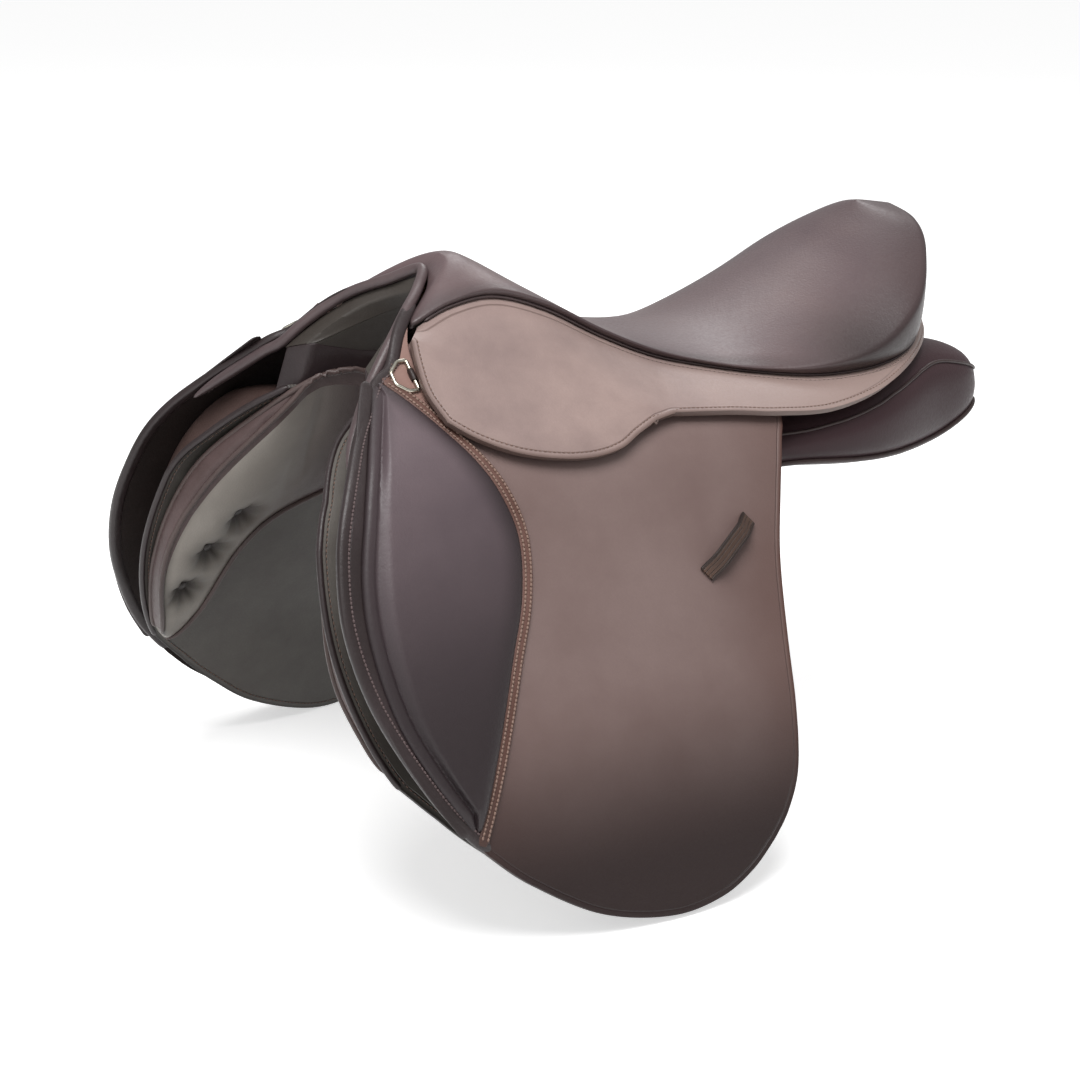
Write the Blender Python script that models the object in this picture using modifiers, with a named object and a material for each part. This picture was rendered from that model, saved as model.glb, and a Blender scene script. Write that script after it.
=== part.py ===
"""English general purpose saddle with forward cut flaps, at real size in metres.

Frame: +X to the rear, so the pommel is at -X and the cantle at +X. The left or near side is at -Y,
and +Z is up. The origin lies on the centre line, level with the lowest place of the panels,
where a horse's back or a saddle rack carries them.

Leather that lies along the side of the saddle is laid out on one side surface. A place on it has
three numbers: x along the saddle, s down the surface from its top line, and w outwards from
the flap's outer face. The surface is straight along x and bends only down s.
"""

import bpy
import bmesh
from math import sin, cos, radians, pi, sqrt
from mathutils import Vector, Matrix

# Clearances
GAP = 0.0003
HINGE_GAP = 0.0006

# Side surface: half breadth and height of its top line, then its bends down s.
# Each bend holds the lean from upright at its start and end in degrees, and its length.
SIDE_TOP = (0.037, 0.159)
SIDE_BENDS = ((47, 47, 0.120), (47, 26, 0.050), (26, 26, 0.157), (26, 17, 0.043), (17, 17, 0.120))

# Leather and layer thicknesses
FLAP_THICK = 0.0045
SKIRT_THICK = 0.0040
SKIRT_LIFT = 0.0055
SKIRT_SEAM_GAP = 0.0022
SKIRT_FOLD_GAP = 0.0010
SWEAT_THICK = 0.0035
SWEAT_DEPTH_REAR = 0.0180
SWEAT_DEPTH_FRONT = 0.041
SWEAT_DEPTH_FROM_X = -0.05
SWEAT_DEPTH_RUN = 0.18
BILLET_THICK = 0.0035
BILLET_DEPTH_OUTER = 0.0080
BILLET_DEPTH_INNER = 0.0133
COVER_THICK = 0.0030
FOAM_THICK = 0.0075
TREE_THICK = 0.0070
WEB_THICK = 0.0012

# Flap fold: the flap lifts about a straight line just below the skirt
FLAP_FOLD_S = 0.156
FLAP_AXIS_LIFT = 0.0040

# Skirt fold: from the front corner of the skirt to the notch behind its lobe
SKIRT_FOLD_FRONT = (-0.2275, 0.034)
SKIRT_FOLD_REAR = (-0.050, 0.1250)

# Flap outline on the side surface as (x, s)
FLAP_FRONT_UPPER = ((-0.2285, 0.0300), (-0.2385, 0.0375), (-0.252, 0.0475), (-0.264, 0.0560),
                    (-0.284, 0.082), (-0.302, 0.108), (-0.328, 0.1554))
FLAP_FRONT_LOWER = ((-0.3286, 0.1566), (-0.340, 0.192), (-0.345, 0.232), (-0.3395, 0.278), (-0.324, 0.322),
                    (-0.303, 0.362), (-0.276, 0.395))
FLAP_BOTTOM = ((-0.276, 0.395), (-0.247, 0.421), (-0.195, 0.453), (-0.140, 0.4665), (-0.098, 0.4630),
               (-0.068, 0.450), (-0.046, 0.433))
FLAP_REAR_LOWER = ((0.0352, 0.1566), (0.0230, 0.192), (0.009, 0.237), (-0.001, 0.290), (-0.009, 0.344),
                   (-0.0165, 0.388), (-0.030, 0.415), (-0.046, 0.433))
FLAP_REAR_UPPER = ((0.0440, 0.1305), (0.0415, 0.1420), (0.0355, 0.1554))
FLAP_TOP_EDGE = ((-0.2285, 0.0300), (-0.190, 0.0360), (-0.150, 0.0420), (-0.115, 0.0540), (-0.090, 0.0730),
                 (-0.067, 0.0980), (-0.045, 0.1120), (-0.010, 0.1225), (0.0440, 0.1305))

# Skirt lobe outline on the side surface as (x, s)
LOBE_FRONT = ((-0.2275, 0.0350), (-0.2318, 0.0540), (-0.2342, 0.0780), (-0.2290, 0.103))
LOBE_BOTTOM = ((-0.2290, 0.103), (-0.211, 0.1205), (-0.186, 0.1345), (-0.156, 0.1430), (-0.128, 0.1460),
               (-0.104, 0.1430), (-0.086, 0.1350), (-0.067, 0.1275))
LOBE_REAR = ((-0.0505, 0.1262), (-0.0585, 0.1264), (-0.067, 0.1275))

# Lower edge of the skirt's fixed band behind the notch as (x, half breadth, height)
BAND_LOW = ((-0.002, 0.139, 0.0745), (0.036, 0.1435, 0.0695), (0.085, 0.142, 0.065), (0.135, 0.133, 0.070),
            (0.178, 0.112, 0.079), (0.217, 0.082, 0.088), (0.246, 0.043, 0.093), (0.256, 0.0004, 0.094))
BAND_PUFF = 0.0022

# Seat, as stations round its edge from the front middle to the rear middle on one side.
# Each holds its seam, its rim and the place of its spine on the centre line, as x, half breadth, height.
SEAT_STATIONS = (
    ((-0.1740, 0.0000, 0.1680), (-0.1745, 0.0000, 0.1755), -0.1640),
    ((-0.1880, 0.0220, 0.1590), (-0.1885, 0.0225, 0.1660), -0.1630),
    ((-0.2180, 0.0490, 0.1465), (-0.2172, 0.0495, 0.1505), -0.1600),
    ((-0.1850, 0.0470, 0.1580), (-0.1850, 0.0490, 0.1617), -0.1500),
    ((-0.1480, 0.0470, 0.1610), (-0.1480, 0.0493, 0.1658), -0.1350),
    ((-0.1100, 0.0550, 0.1490), (-0.1100, 0.0585, 0.1542), -0.1050),
    ((-0.0670, 0.0630, 0.1255), (-0.0670, 0.0673, 0.1304), -0.0670),
    ((-0.0260, 0.0700, 0.1070), (-0.0260, 0.0746, 0.1114), -0.0260),
    ((0.0140, 0.0790, 0.0960), (0.0140, 0.0840, 0.0990), 0.0140),
    ((0.0540, 0.0900, 0.0880), (0.0535, 0.0963, 0.0913), 0.0540),
    ((0.1000, 0.1060, 0.0830), (0.0985, 0.1135, 0.0910), 0.1000),
    ((0.1500, 0.1110, 0.0840), (0.1480, 0.1203, 0.1008), 0.1480),
    ((0.1910, 0.1000, 0.0910), (0.1922, 0.1090, 0.1268), 0.1790),
    ((0.2230, 0.0680, 0.1040), (0.2260, 0.0750, 0.1554), 0.2000),
    ((0.2390, 0.0340, 0.1120), (0.2440, 0.0410, 0.1725), 0.2110),
    ((0.2440, 0.0000, 0.1150), (0.2505, 0.0000, 0.1785), 0.2150),
)
SEAT_SPINE = ((-0.165, 0.1850), (-0.150, 0.1837), (-0.110, 0.1600), (-0.062, 0.1295), (-0.020, 0.1118),
              (0.020, 0.1075), (0.060, 0.1110), (0.110, 0.1278), (0.160, 0.1512), (0.195, 0.1722),
              (0.215, 0.1849))
SEAT_CROWN_POWER = 2.2
TREE_SOLID_FROM = -0.166
TREE_SOLID_UNTIL = -0.105
TREE_RAIL_SHARE = 0.64

# Knee pad outline on the side surface as (x, s), split where the flap folds
PAD_TOP_CORNER = ((-0.2655, 0.0580), (-0.2595, 0.0575))
PAD_FRONT_UPPER = ((-0.2655, 0.0580), (-0.2850, 0.0960), (-0.3000, 0.1270), (-0.3120, 0.1540))
PAD_REAR_UPPER = ((-0.2595, 0.0575), (-0.2400, 0.0860), (-0.2180, 0.1260), (-0.2065, 0.1540))
PAD_FRONT_LOWER = ((-0.3130, 0.1580), (-0.3265, 0.2000), (-0.3310, 0.2440), (-0.3250, 0.2950),
                   (-0.3080, 0.3400), (-0.2860, 0.3770))
PAD_REAR_LOWER = ((-0.2050, 0.1580), (-0.2000, 0.1900), (-0.2090, 0.2310), (-0.2270, 0.2700),
                  (-0.2480, 0.3150), (-0.2800, 0.3790))
PAD_EDGE_RISE = 0.0014
PAD_CROWN = 0.0060
PAD_FOLD_CROWN = 0.0022
PAD_FOLD_RUN = 0.055

# Knee block between the flap and the sweat flap, as (x, s) of its front and rear edges
BLOCK_FRONT = ((-0.2690, 0.0780), (-0.3100, 0.1560), (-0.3240, 0.2100), (-0.3240, 0.2650), (-0.3080, 0.3200))
BLOCK_REAR = ((-0.2280, 0.0800), (-0.2600, 0.1560), (-0.2720, 0.2100), (-0.2740, 0.2650), (-0.2700, 0.3200))
BLOCK_TOP_CLEARANCE = 0.0012
BLOCK_SEAT = 0.0010

# Sweat flap outline on the side surface as (x, s)
SWEAT_TOP = ((-0.2620, 0.0560), (-0.1700, 0.0790), (-0.0800, 0.1000), (0.0200, 0.1200))
SWEAT_FRONT = ((-0.2620, 0.0560), (-0.2860, 0.0760), (-0.3050, 0.1040), (-0.3220, 0.1420), (-0.3330, 0.1870),
               (-0.3370, 0.2300), (-0.3340, 0.2680), (-0.3250, 0.3060), (-0.3110, 0.3400))
SWEAT_BOTTOM = ((-0.3110, 0.3400), (-0.2850, 0.3725), (-0.2540, 0.4015), (-0.2150, 0.4300), (-0.1500, 0.4580),
                (-0.1050, 0.4570), (-0.0620, 0.4300))
SWEAT_REAR = ((0.0200, 0.1200), (0.0150, 0.1600), (0.0020, 0.2200), (-0.0080, 0.2800), (-0.0180, 0.3400),
              (-0.0350, 0.3950), (-0.0620, 0.4300))

# Panel, as stations from its rear end along the channel and down the front leg to its tip.
# Each body station holds the channel's lower edge, the channel's upper edge, the middle of the top,
# the outer upper edge and the outer lower edge, as x, half breadth, height.
PANEL_BODY = (
    ((0.292, 0.046, 0.026), (0.292, 0.046, 0.056), (0.291, 0.059, 0.060),
     (0.288, 0.070, 0.054), (0.288, 0.070, 0.030)),
    ((0.273, 0.037, 0.011), (0.273, 0.037, 0.070), (0.268, 0.060, 0.077),
     (0.260, 0.086, 0.066), (0.263, 0.085, 0.018)),
    ((0.240, 0.034, 0.002), (0.240, 0.034, 0.082), (0.232, 0.064, 0.088),
     (0.222, 0.098, 0.074), (0.228, 0.095, 0.010)),
    ((0.190, 0.033, 0.000), (0.190, 0.033, 0.086), (0.186, 0.070, 0.090),
     (0.178, 0.118, 0.065), (0.184, 0.113, 0.008)),
    ((0.140, 0.033, 0.000), (0.140, 0.033, 0.082), (0.138, 0.075, 0.082),
     (0.132, 0.133, 0.056), (0.138, 0.126, 0.011)),
    ((0.080, 0.032, 0.008), (0.080, 0.032, 0.076), (0.080, 0.075, 0.076),
     (0.080, 0.136, 0.050), (0.080, 0.130, 0.020)),
    ((0.030, 0.031, 0.018), (0.030, 0.031, 0.075), (0.030, 0.070, 0.076),
     (0.026, 0.124, 0.044), (0.028, 0.120, 0.024)),
    ((-0.030, 0.030, 0.034), (-0.030, 0.030, 0.080), (-0.030, 0.066, 0.080),
     (-0.036, 0.128, 0.030), (-0.034, 0.120, 0.018)),
    ((-0.090, 0.030, 0.053), (-0.090, 0.029, 0.092), (-0.092, 0.060, 0.088),
     (-0.100, 0.130, 0.014), (-0.098, 0.120, 0.006)),
    ((-0.145, 0.030, 0.072), (-0.145, 0.028, 0.102), (-0.150, 0.050, 0.098),
     (-0.160, 0.124, 0.000), (-0.156, 0.114, -0.006)),
)
# Each leg station holds the inner welt as x, half breadth, height, then the outer welt and the
# rear border as (x, s) on the sweat flap's inner face, and the leg's thickness at that border.
PANEL_LEG = (
    ((-0.200, 0.031, 0.093), (-0.212, 0.030), (-0.212, 0.2080), 0.013),
    ((-0.238, 0.034, 0.106), (-0.252, 0.047), (-0.238, 0.2200), 0.013),
    ((-0.260, 0.041, 0.081), (-0.278, 0.075), (-0.254, 0.2340), 0.014),
    ((-0.285, 0.059, 0.052), (-0.297, 0.104), (-0.264, 0.2500), 0.014),
    ((-0.307, 0.080, 0.022), (-0.313, 0.138), (-0.271, 0.2680), 0.014),
    ((-0.322, 0.101, -0.010), (-0.325, 0.184), (-0.276, 0.2870), 0.013),
    ((-0.331, 0.119, -0.044), (-0.331, 0.224), (-0.282, 0.3050), 0.012),
    ((-0.331, 0.135, -0.078), (-0.331, 0.264), (-0.290, 0.3200), 0.010),
    ((-0.320, 0.156, -0.108), (-0.324, 0.300), (-0.298, 0.3320), 0.008),
    ((-0.313, 0.171, -0.126), (-0.3165, 0.326), (-0.307, 0.3390), 0.006),
)
TUFT_STATIONS = (4, 5, 7)
TUFT_DEPTH = 0.011
PANEL_CROWN = 0.006

# Billets: places of their middles along x, the height of their swing axes down s, and their size
BILLETS = (("front", -0.115, False), ("middle", -0.081, True), ("rear", -0.047, False))
BILLET_TOP_S = 0.172
BILLET_AXIS_S = 0.182
BILLET_END_S = 0.400
BILLET_WIDTH = 0.025
GIRTH_WEB_X = (-0.130, -0.032)
GIRTH_WEB_S = (0.054, 0.1000, 0.190)

# Stirrup bar, its catch and the head plate that carries it
BAR_X = (-0.200, -0.104)
BAR_S = (0.0840, 0.0980)
BAR_NECK = 0.010
BAR_PLATE_W = (-0.0113, -0.0085)
BAR_BLADE_W = (-0.0016, 0.0024)
BAR_WINDOW_MARGIN_X = 0.006
BAR_WINDOW_REAR = 0.026
BAR_WINDOW_MARGIN_S = 0.008
CATCH_LENGTH = 0.0118
CATCH_WIDTH = 0.0035
RIVET_RADIUS = 0.0030
RIVET_INSETS = (0.020, 0.038)
HEAD_PLATE_X = (-0.204, -0.160)
HEAD_PLATE_S = (0.036, 0.150)
HEAD_PLATE_THICK = 0.0040
HEAD_PLATE_RAKE = (0.034, 0.018)
HEAD_ARCH_TOP = 0.1495

# Ring, its tab and the keeper on the flap
RING_X = -0.2345
RING_S = (0.0450, 0.0700)
RING_REACH = 0.0155
RING_WIRE = 0.0014
RING_W = 0.0027
TAB_LENGTH = 0.010
TAB_CLEARANCE = 0.0004
TAB_WALL = 0.0008
KEEPER_ENDS = ((-0.011, 0.206), (-0.058, 0.240))
KEEPER_WIDTH = 0.013
KEEPER_RISE = 0.0086
KEEPER_THICK = 0.0022

# Pommel welt: middle of the piping along the front edge, as x, half breadth, height
WELT_RADIUS = 0.0040
WELT_PATH = ((-0.1797, 0.0000, 0.1755), (-0.1942, 0.0200, 0.1660), (-0.2142, 0.0380, 0.1560),
             (-0.2292, 0.0490, 0.1450), (-0.2442, 0.0585, 0.1320), (-0.2582, 0.0665, 0.1180),
             (-0.2682, 0.0735, 0.1085))

# Facing that closes the head between the welt and the gullet lining: its outer and inner edges
FACING_OUTER = ((-0.2564, 0.0629, 0.1144), (-0.2410, 0.0565, 0.1283), (-0.2266, 0.0480, 0.1405),
                (-0.2103, 0.0357, 0.1522), (-0.1913, 0.0186, 0.1616), (-0.1792, 0.0000, 0.1700))
FACING_INNER = ((-0.2500, 0.0440, 0.1200), (-0.2400, 0.0400, 0.1280), (-0.2280, 0.0350, 0.1370),
                (-0.2120, 0.0270, 0.1470), (-0.1950, 0.0140, 0.1550), (-0.1835, 0.0000, 0.1600))
FACING_THICK = 0.0020

# Gullet lining over the channel: side edge and crown of each station, as x, half breadth, height, x, height
LINING = (
    (-0.2440, 0.0400, 0.1210, -0.1790, 0.1500),
    (-0.2250, 0.0385, 0.1160, -0.1700, 0.1455),
    (-0.2000, 0.0370, 0.1110, -0.1560, 0.1410),
    (-0.1600, 0.0370, 0.1080, -0.1300, 0.1330),
    (-0.1100, 0.0400, 0.0990, -0.1000, 0.1215),
    (-0.0600, 0.0430, 0.0880, -0.0600, 0.1030),
    (0.0000, 0.0450, 0.0790, 0.0000, 0.0838),
    (0.0600, 0.0460, 0.0785, 0.0600, 0.0848),
    (0.1200, 0.0470, 0.0835, 0.1200, 0.0920),
    (0.1800, 0.0470, 0.0905, 0.1800, 0.0980),
    (0.2250, 0.0440, 0.0900, 0.2250, 0.0960),
)
LINING_THICK = 0.0020

COLOURS = {
    "seat leather": ((0.150, 0.105, 0.104), 0.42, 0.0),
    "skirt leather": ((0.330, 0.245, 0.228), 0.50, 0.0),
    "flap leather": ((0.235, 0.155, 0.140), 0.50, 0.0),
    "pad leather": ((0.120, 0.088, 0.092), 0.45, 0.0),
    "panel leather": ((0.180, 0.165, 0.150), 0.50, 0.0),
    "webbing": ((0.500, 0.450, 0.360), 0.85, 0.0),
    "foam": ((0.600, 0.560, 0.450), 0.90, 0.0),
    "laminated wood": ((0.500, 0.330, 0.180), 0.55, 0.0),
    "steel": ((0.450, 0.450, 0.460), 0.35, 1.0),
    "nickel silver": ((0.720, 0.700, 0.640), 0.25, 1.0),
}

SIDES = (("left", -1), ("right", 1))


# Scene, collections and materials
for old in list(bpy.data.objects):
    bpy.data.objects.remove(old, do_unlink=True)

saddle_parts = bpy.data.collections.new("saddle")
cutters = bpy.data.collections.new("cutters")
bpy.context.scene.collection.children.link(saddle_parts)
bpy.context.scene.collection.children.link(cutters)


def make_material(name):
    colour, roughness, metallic = COLOURS[name]
    material = bpy.data.materials.new(name)
    material.use_nodes = True
    shader = material.node_tree.nodes["Principled BSDF"]
    shader.inputs["Base Color"].default_value = (*colour, 1.0)
    shader.inputs["Roughness"].default_value = roughness
    shader.inputs["Metallic"].default_value = metallic
    material.diffuse_color = (*colour, 1.0)
    return material


MATERIALS = {name: make_material(name) for name in COLOURS}


# Curves and surfaces
def spline(points, t):
    """Point of a smooth curve that passes through all points, for t from 0 to 1 over equal spans."""
    last = len(points) - 1
    place = min(max(t, 0.0), 1.0) * last
    span = min(int(place), last - 1)
    f = place - span
    p0, p1 = Vector(points[max(span - 1, 0)]), Vector(points[span])
    p2, p3 = Vector(points[span + 1]), Vector(points[min(span + 2, last)])
    return 0.5 * (2 * p1 + (p2 - p0) * f + (2 * p0 - 5 * p1 + 4 * p2 - p3) * f * f
                  + (3 * p1 - p0 - 3 * p2 + p3) * f * f * f)


def even_curve(points, fine=24):
    """A function of 0 to 1 that walks the smooth curve through the points at an even pace."""
    count = fine * (len(points) - 1)
    places = [spline(points, i / count) for i in range(count + 1)]
    run = [0.0]
    for a, b in zip(places, places[1:]):
        run.append(run[-1] + (b - a).length)

    def walk(t):
        target = min(max(t, 0.0), 1.0) * run[-1]
        i = 0
        while i < count - 1 and run[i + 1] < target:
            i += 1
        step = run[i + 1] - run[i]
        f = (target - run[i]) / step if step else 0.0
        return places[i].lerp(places[i + 1], f)

    return walk


def height_along(points, x):
    """Smooth height over x through points of (x, height)."""
    i = 0
    while i < len(points) - 2 and points[i + 1][0] < x:
        i += 1

    def slope(k):
        lo, hi = max(k - 1, 0), min(k + 1, len(points) - 1)
        return (points[hi][1] - points[lo][1]) / (points[hi][0] - points[lo][0])

    (x0, z0), (x1, z1) = points[i], points[i + 1]
    span = x1 - x0
    f = min(max((x - x0) / span, 0.0), 1.0)
    return ((2 * f ** 3 - 3 * f ** 2 + 1) * z0 + (f ** 3 - 2 * f ** 2 + f) * span * slope(i)
            + (3 * f ** 2 - 2 * f ** 3) * z1 + (f ** 3 - f ** 2) * span * slope(i + 1))


def smooth_step(f):
    f = min(max(f, 0.0), 1.0)
    return f * f * (3 - 2 * f)


def patch_between(top, bottom, front, rear):
    """Surface place for u from front to rear and v from top to bottom, inside four edge curves."""
    top, bottom, front, rear = (even_curve(edge) for edge in (top, bottom, front, rear))

    def place(u, v):
        corners = ((1 - u) * (1 - v) * top(0) + u * (1 - v) * top(1)
                   + (1 - u) * v * bottom(0) + u * v * bottom(1))
        return (1 - v) * top(u) + v * bottom(u) + (1 - u) * front(v) + u * rear(v) - corners

    return place


def side_section(s):
    """Half breadth, height and lean in radians of the side surface at s."""
    breadth, height = SIDE_TOP
    left = s
    for start, end, length in SIDE_BENDS:
        run = left if s < 0 or left < length else length
        a = radians(start)
        turn = radians(end - start) / length
        b = a + turn * run
        if abs(turn) < 1e-9:
            breadth += sin(a) * run
            height -= cos(a) * run
        else:
            breadth += (cos(a) - cos(b)) / turn
            height -= (sin(b) - sin(a)) / turn
        left -= run
        if left <= 0:
            return breadth, height, b
    return breadth, height, b


def side_place(x, s, w, side):
    """World place at x, s and w on the left (-1) or right (1) side."""
    breadth, height, lean = side_section(s)
    return Vector((x, side * (breadth + w * cos(lean)), height + w * sin(lean)))


def side_normal(s, side):
    lean = side_section(s)[2]
    return Vector((0.0, side * cos(lean), sin(lean)))


def side_down(s, side):
    lean = side_section(s)[2]
    return Vector((0.0, side * sin(lean), -cos(lean)))


def sweat_depth(x):
    """Depth of the sweat flap's outer face below the flap's outer face."""
    f = smooth_step((SWEAT_DEPTH_FROM_X - x) / SWEAT_DEPTH_RUN)
    return SWEAT_DEPTH_REAR + (SWEAT_DEPTH_FRONT - SWEAT_DEPTH_REAR) * f


# Object makers
def add_object(name, mesh, material, origin=None):
    """Link a mesh, given in world places, as one part with its origin where asked."""
    obj = bpy.data.objects.new(name, mesh)
    if origin is not None:
        mesh.transform(Matrix.Translation(-Vector(origin)))
        obj.location = origin
    mesh.materials.append(MATERIALS[material])
    saddle_parts.objects.link(obj)
    return obj


def mesh_from(bm, name, smooth_angle=40):
    bmesh.ops.recalc_face_normals(bm, faces=bm.faces)
    mesh = bpy.data.meshes.new(name)
    bm.to_mesh(mesh)
    bm.free()
    mesh.shade_smooth()
    mesh.set_sharp_from_angle(angle=radians(smooth_angle))
    return mesh


def grid_mesh(name, place, columns, rows):
    """Grid whose columns run over u and rows over v, moved onto a surface."""
    bm = bmesh.new()
    bmesh.ops.create_grid(bm, x_segments=columns, y_segments=rows, size=1)
    for vertex in bm.verts:
        u, v = (vertex.co.x + 1) / 2, (1 - vertex.co.y) / 2
        vertex.co = place(u, v)
    return mesh_from(bm, name)


def add_sheet(name, place, columns, rows, thickness, material, origin=None):
    """Leather sheet whose middle surface is given, with its thickness half on each side."""
    obj = add_object(name, grid_mesh(name, place, columns, rows), material, origin)
    solidify = obj.modifiers.new("leather thickness", 'SOLIDIFY')
    solidify.thickness = thickness
    solidify.offset = 0.0
    return obj


def add_two_faced(name, outer, inner, columns, rows, material, origin=None):
    """Closed solid between an outer and an inner surface over the same grid."""
    bm = bmesh.new()
    bmesh.ops.create_grid(bm, x_segments=columns, y_segments=rows, size=1)
    spots = {vertex: ((vertex.co.x + 1) / 2, (1 - vertex.co.y) / 2) for vertex in bm.verts}
    extruded = bmesh.ops.extrude_face_region(bm, geom=list(bm.faces), use_keep_orig=True)
    copies = [item for item in extruded["geom"] if isinstance(item, bmesh.types.BMVert)]
    flat = {(round(v.co.x, 6), round(v.co.y, 6)): spot for v, spot in spots.items()}
    copy_spots = {v: flat[(round(v.co.x, 6), round(v.co.y, 6))] for v in copies}
    for vertex, (u, v) in spots.items():
        vertex.co = inner(u, v)
    for vertex, (u, v) in copy_spots.items():
        vertex.co = outer(u, v)
    return add_object(name, mesh_from(bm, name), material, origin)


def add_tube(name, points, radius, material, sides_level=2, closed=False, origin=None):
    """Round wire or piping along points, made a mesh with welded caps."""
    curve = bpy.data.curves.new(name, 'CURVE')
    curve.dimensions = '3D'
    path = curve.splines.new('POLY')
    path.points.add(len(points) - 1)
    for target, point in zip(path.points, points):
        target.co = (*point, 1.0)
    path.use_cyclic_u = closed
    curve.bevel_depth = radius
    curve.bevel_resolution = sides_level
    curve.use_fill_caps = not closed
    source = bpy.data.objects.new(name + "_path", curve)
    bpy.context.scene.collection.objects.link(source)
    bpy.context.view_layer.update()
    mesh = bpy.data.meshes.new_from_object(source.evaluated_get(bpy.context.evaluated_depsgraph_get()))
    bpy.data.objects.remove(source, do_unlink=True)
    mesh.name = name
    bm = bmesh.new()
    bm.from_mesh(mesh)
    bmesh.ops.remove_doubles(bm, verts=bm.verts, dist=0.00005)
    bpy.data.meshes.remove(mesh)
    return add_object(name, mesh_from(bm, name), material, origin)


def side_frame(x, s, w, side):
    """Matrix whose X runs along the saddle, Y down the side surface and Z outwards, at a side place."""
    along, down, out = Vector((1, 0, 0)), side_down(s, side), side_normal(s, side)
    frame = Matrix((along, down, out)).transposed().to_4x4()
    frame.translation = side_place(x, s, w, side)
    return frame


def outline_prism(bm, outline, low, high, frame):
    """Prism over a closed outline of (x, y) between two heights, set into a frame."""
    bottom = [bm.verts.new(frame @ Vector((x, y, low))) for x, y in outline]
    face = bm.faces.new(bottom)
    lifted = bmesh.ops.extrude_face_region(bm, geom=[face], use_keep_orig=True)
    rise = frame.to_3x3() @ Vector((0, 0, high - low))
    moved = [item for item in lifted["geom"] if isinstance(item, bmesh.types.BMVert)]
    bmesh.ops.translate(bm, verts=moved, vec=rise)


def add_prism(name, outline, low, high, frame, material, origin=None):
    bm = bmesh.new()
    outline_prism(bm, outline, low, high, frame)
    return add_object(name, mesh_from(bm, name), material, origin)


def cut_with(obj, cutter):
    """Cut one closed mesh out of a part and keep the result as its mesh."""
    cutter.hide_render = True
    cutter.display_type = 'WIRE'
    saddle_parts.objects.unlink(cutter)
    cutters.objects.link(cutter)
    boolean = obj.modifiers.new("cut", 'BOOLEAN')
    boolean.object = cutter
    boolean.operation = 'DIFFERENCE'
    boolean.solver = 'EXACT'


# Seat: cover, foam, tree and webs share one fan shaped surface
def seat_place(t, k, side):
    """Place on the seat's top, t from front middle to rear middle and k from the rim to the spine."""
    rim = spline([station[1] for station in SEAT_STATIONS], t)
    x = spline([(station[2], 0.0, 0.0) for station in SEAT_STATIONS], t).x
    crest = height_along(SEAT_SPINE, x)
    q = 1 - k
    z = crest - (crest - rim.z) * q ** SEAT_CROWN_POWER
    return Vector((x + (rim.x - x) * q * q, side * rim.y * q, z))


def seat_wall(t, f, side):
    """Place on the seat's drawn in side wall, f from the seam to the rim."""
    seam = spline([station[0] for station in SEAT_STATIONS], t)
    rim = spline([station[1] for station in SEAT_STATIONS], t)
    a = f * pi / 2
    flat = seam.lerp(rim, sin(a))
    return Vector((flat.x, side * flat.y, seam.z + (rim.z - seam.z) * (1 - cos(a))))


def seat_seam(t, side):
    return seat_wall(t, 0.0, side)


SEAT_COLUMNS = 26
COVER_ROWS = 8
WALL_SHARE = 0.25
LAYER_EDGE_SHARE = 0.375


def cover_place(t, v, side):
    """Place on the seat's outside, v from the seam up the wall and over the top to the spine."""
    if v < WALL_SHARE:
        return seat_wall(t, v / WALL_SHARE, side)
    return seat_place(t, (v - WALL_SHARE) / (1 - WALL_SHARE), side)


def under_cover(t, v, side, depth):
    """Place at a depth inside the seat: straight down where foam and tree lie, else square to its outside."""
    step = 0.004
    along = cover_place(min(t + step, 1.0), v, side) - cover_place(max(t - step, 0.0), v, side)
    across = cover_place(t, min(v + step, 1.0), side) - cover_place(t, max(v - step, 0.0), side)
    if t <= 0.0 or t >= 1.0:
        along = Vector((0.0, side if t <= 0.0 else -side, 0.0))
    elif v >= 1.0:
        across = Vector((0.0, -side, 0.0))
    normal = along.cross(across).normalized() * -side
    place = cover_place(t, v, side)
    if v > LAYER_EDGE_SHARE - 0.01:
        place.z -= depth / max(normal.z, 0.45)
    else:
        place -= normal * depth
    if v >= 1.0 or t <= 0.0 or t >= 1.0:
        place.y = 0.0
    return place


def add_seat_layer(name, first_row, depth, thickness, material, keep=None):
    """Layer of the seat on both sides of the spine, from a row of the cover's grid to the spine."""
    columns, rows = SEAT_COLUMNS, COVER_ROWS - first_row
    bm = bmesh.new()
    t_of, v_of = bm.verts.layers.float.new("t"), bm.verts.layers.float.new("v")
    side_of = bm.verts.layers.float.new("side")
    bmesh.ops.create_grid(bm, x_segments=columns, y_segments=2 * rows, size=1)
    for vertex in bm.verts:
        vertex[t_of] = round((vertex.co.x + 1) / 2 * columns) / columns
        row = round((1 - abs(vertex.co.y)) * rows) + first_row
        vertex[v_of] = row / COVER_ROWS
        vertex[side_of] = 1.0 if vertex.co.y > 0 else -1.0
        vertex.co = under_cover(vertex[t_of], vertex[v_of], vertex[side_of], depth)
    bmesh.ops.remove_doubles(bm, verts=bm.verts, dist=0.00001)
    if keep:
        spare = [face for face in bm.faces if not keep(face, v_of)]
        bmesh.ops.delete(bm, geom=spare, context='FACES')
    made = bmesh.ops.extrude_face_region(bm, geom=list(bm.faces), use_keep_orig=True)
    for vertex in made["geom"]:
        if isinstance(vertex, bmesh.types.BMVert):
            vertex.co = under_cover(vertex[t_of], vertex[v_of], vertex[side_of], depth + thickness)
    return add_object(name, mesh_from(bm, name), material)


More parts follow.
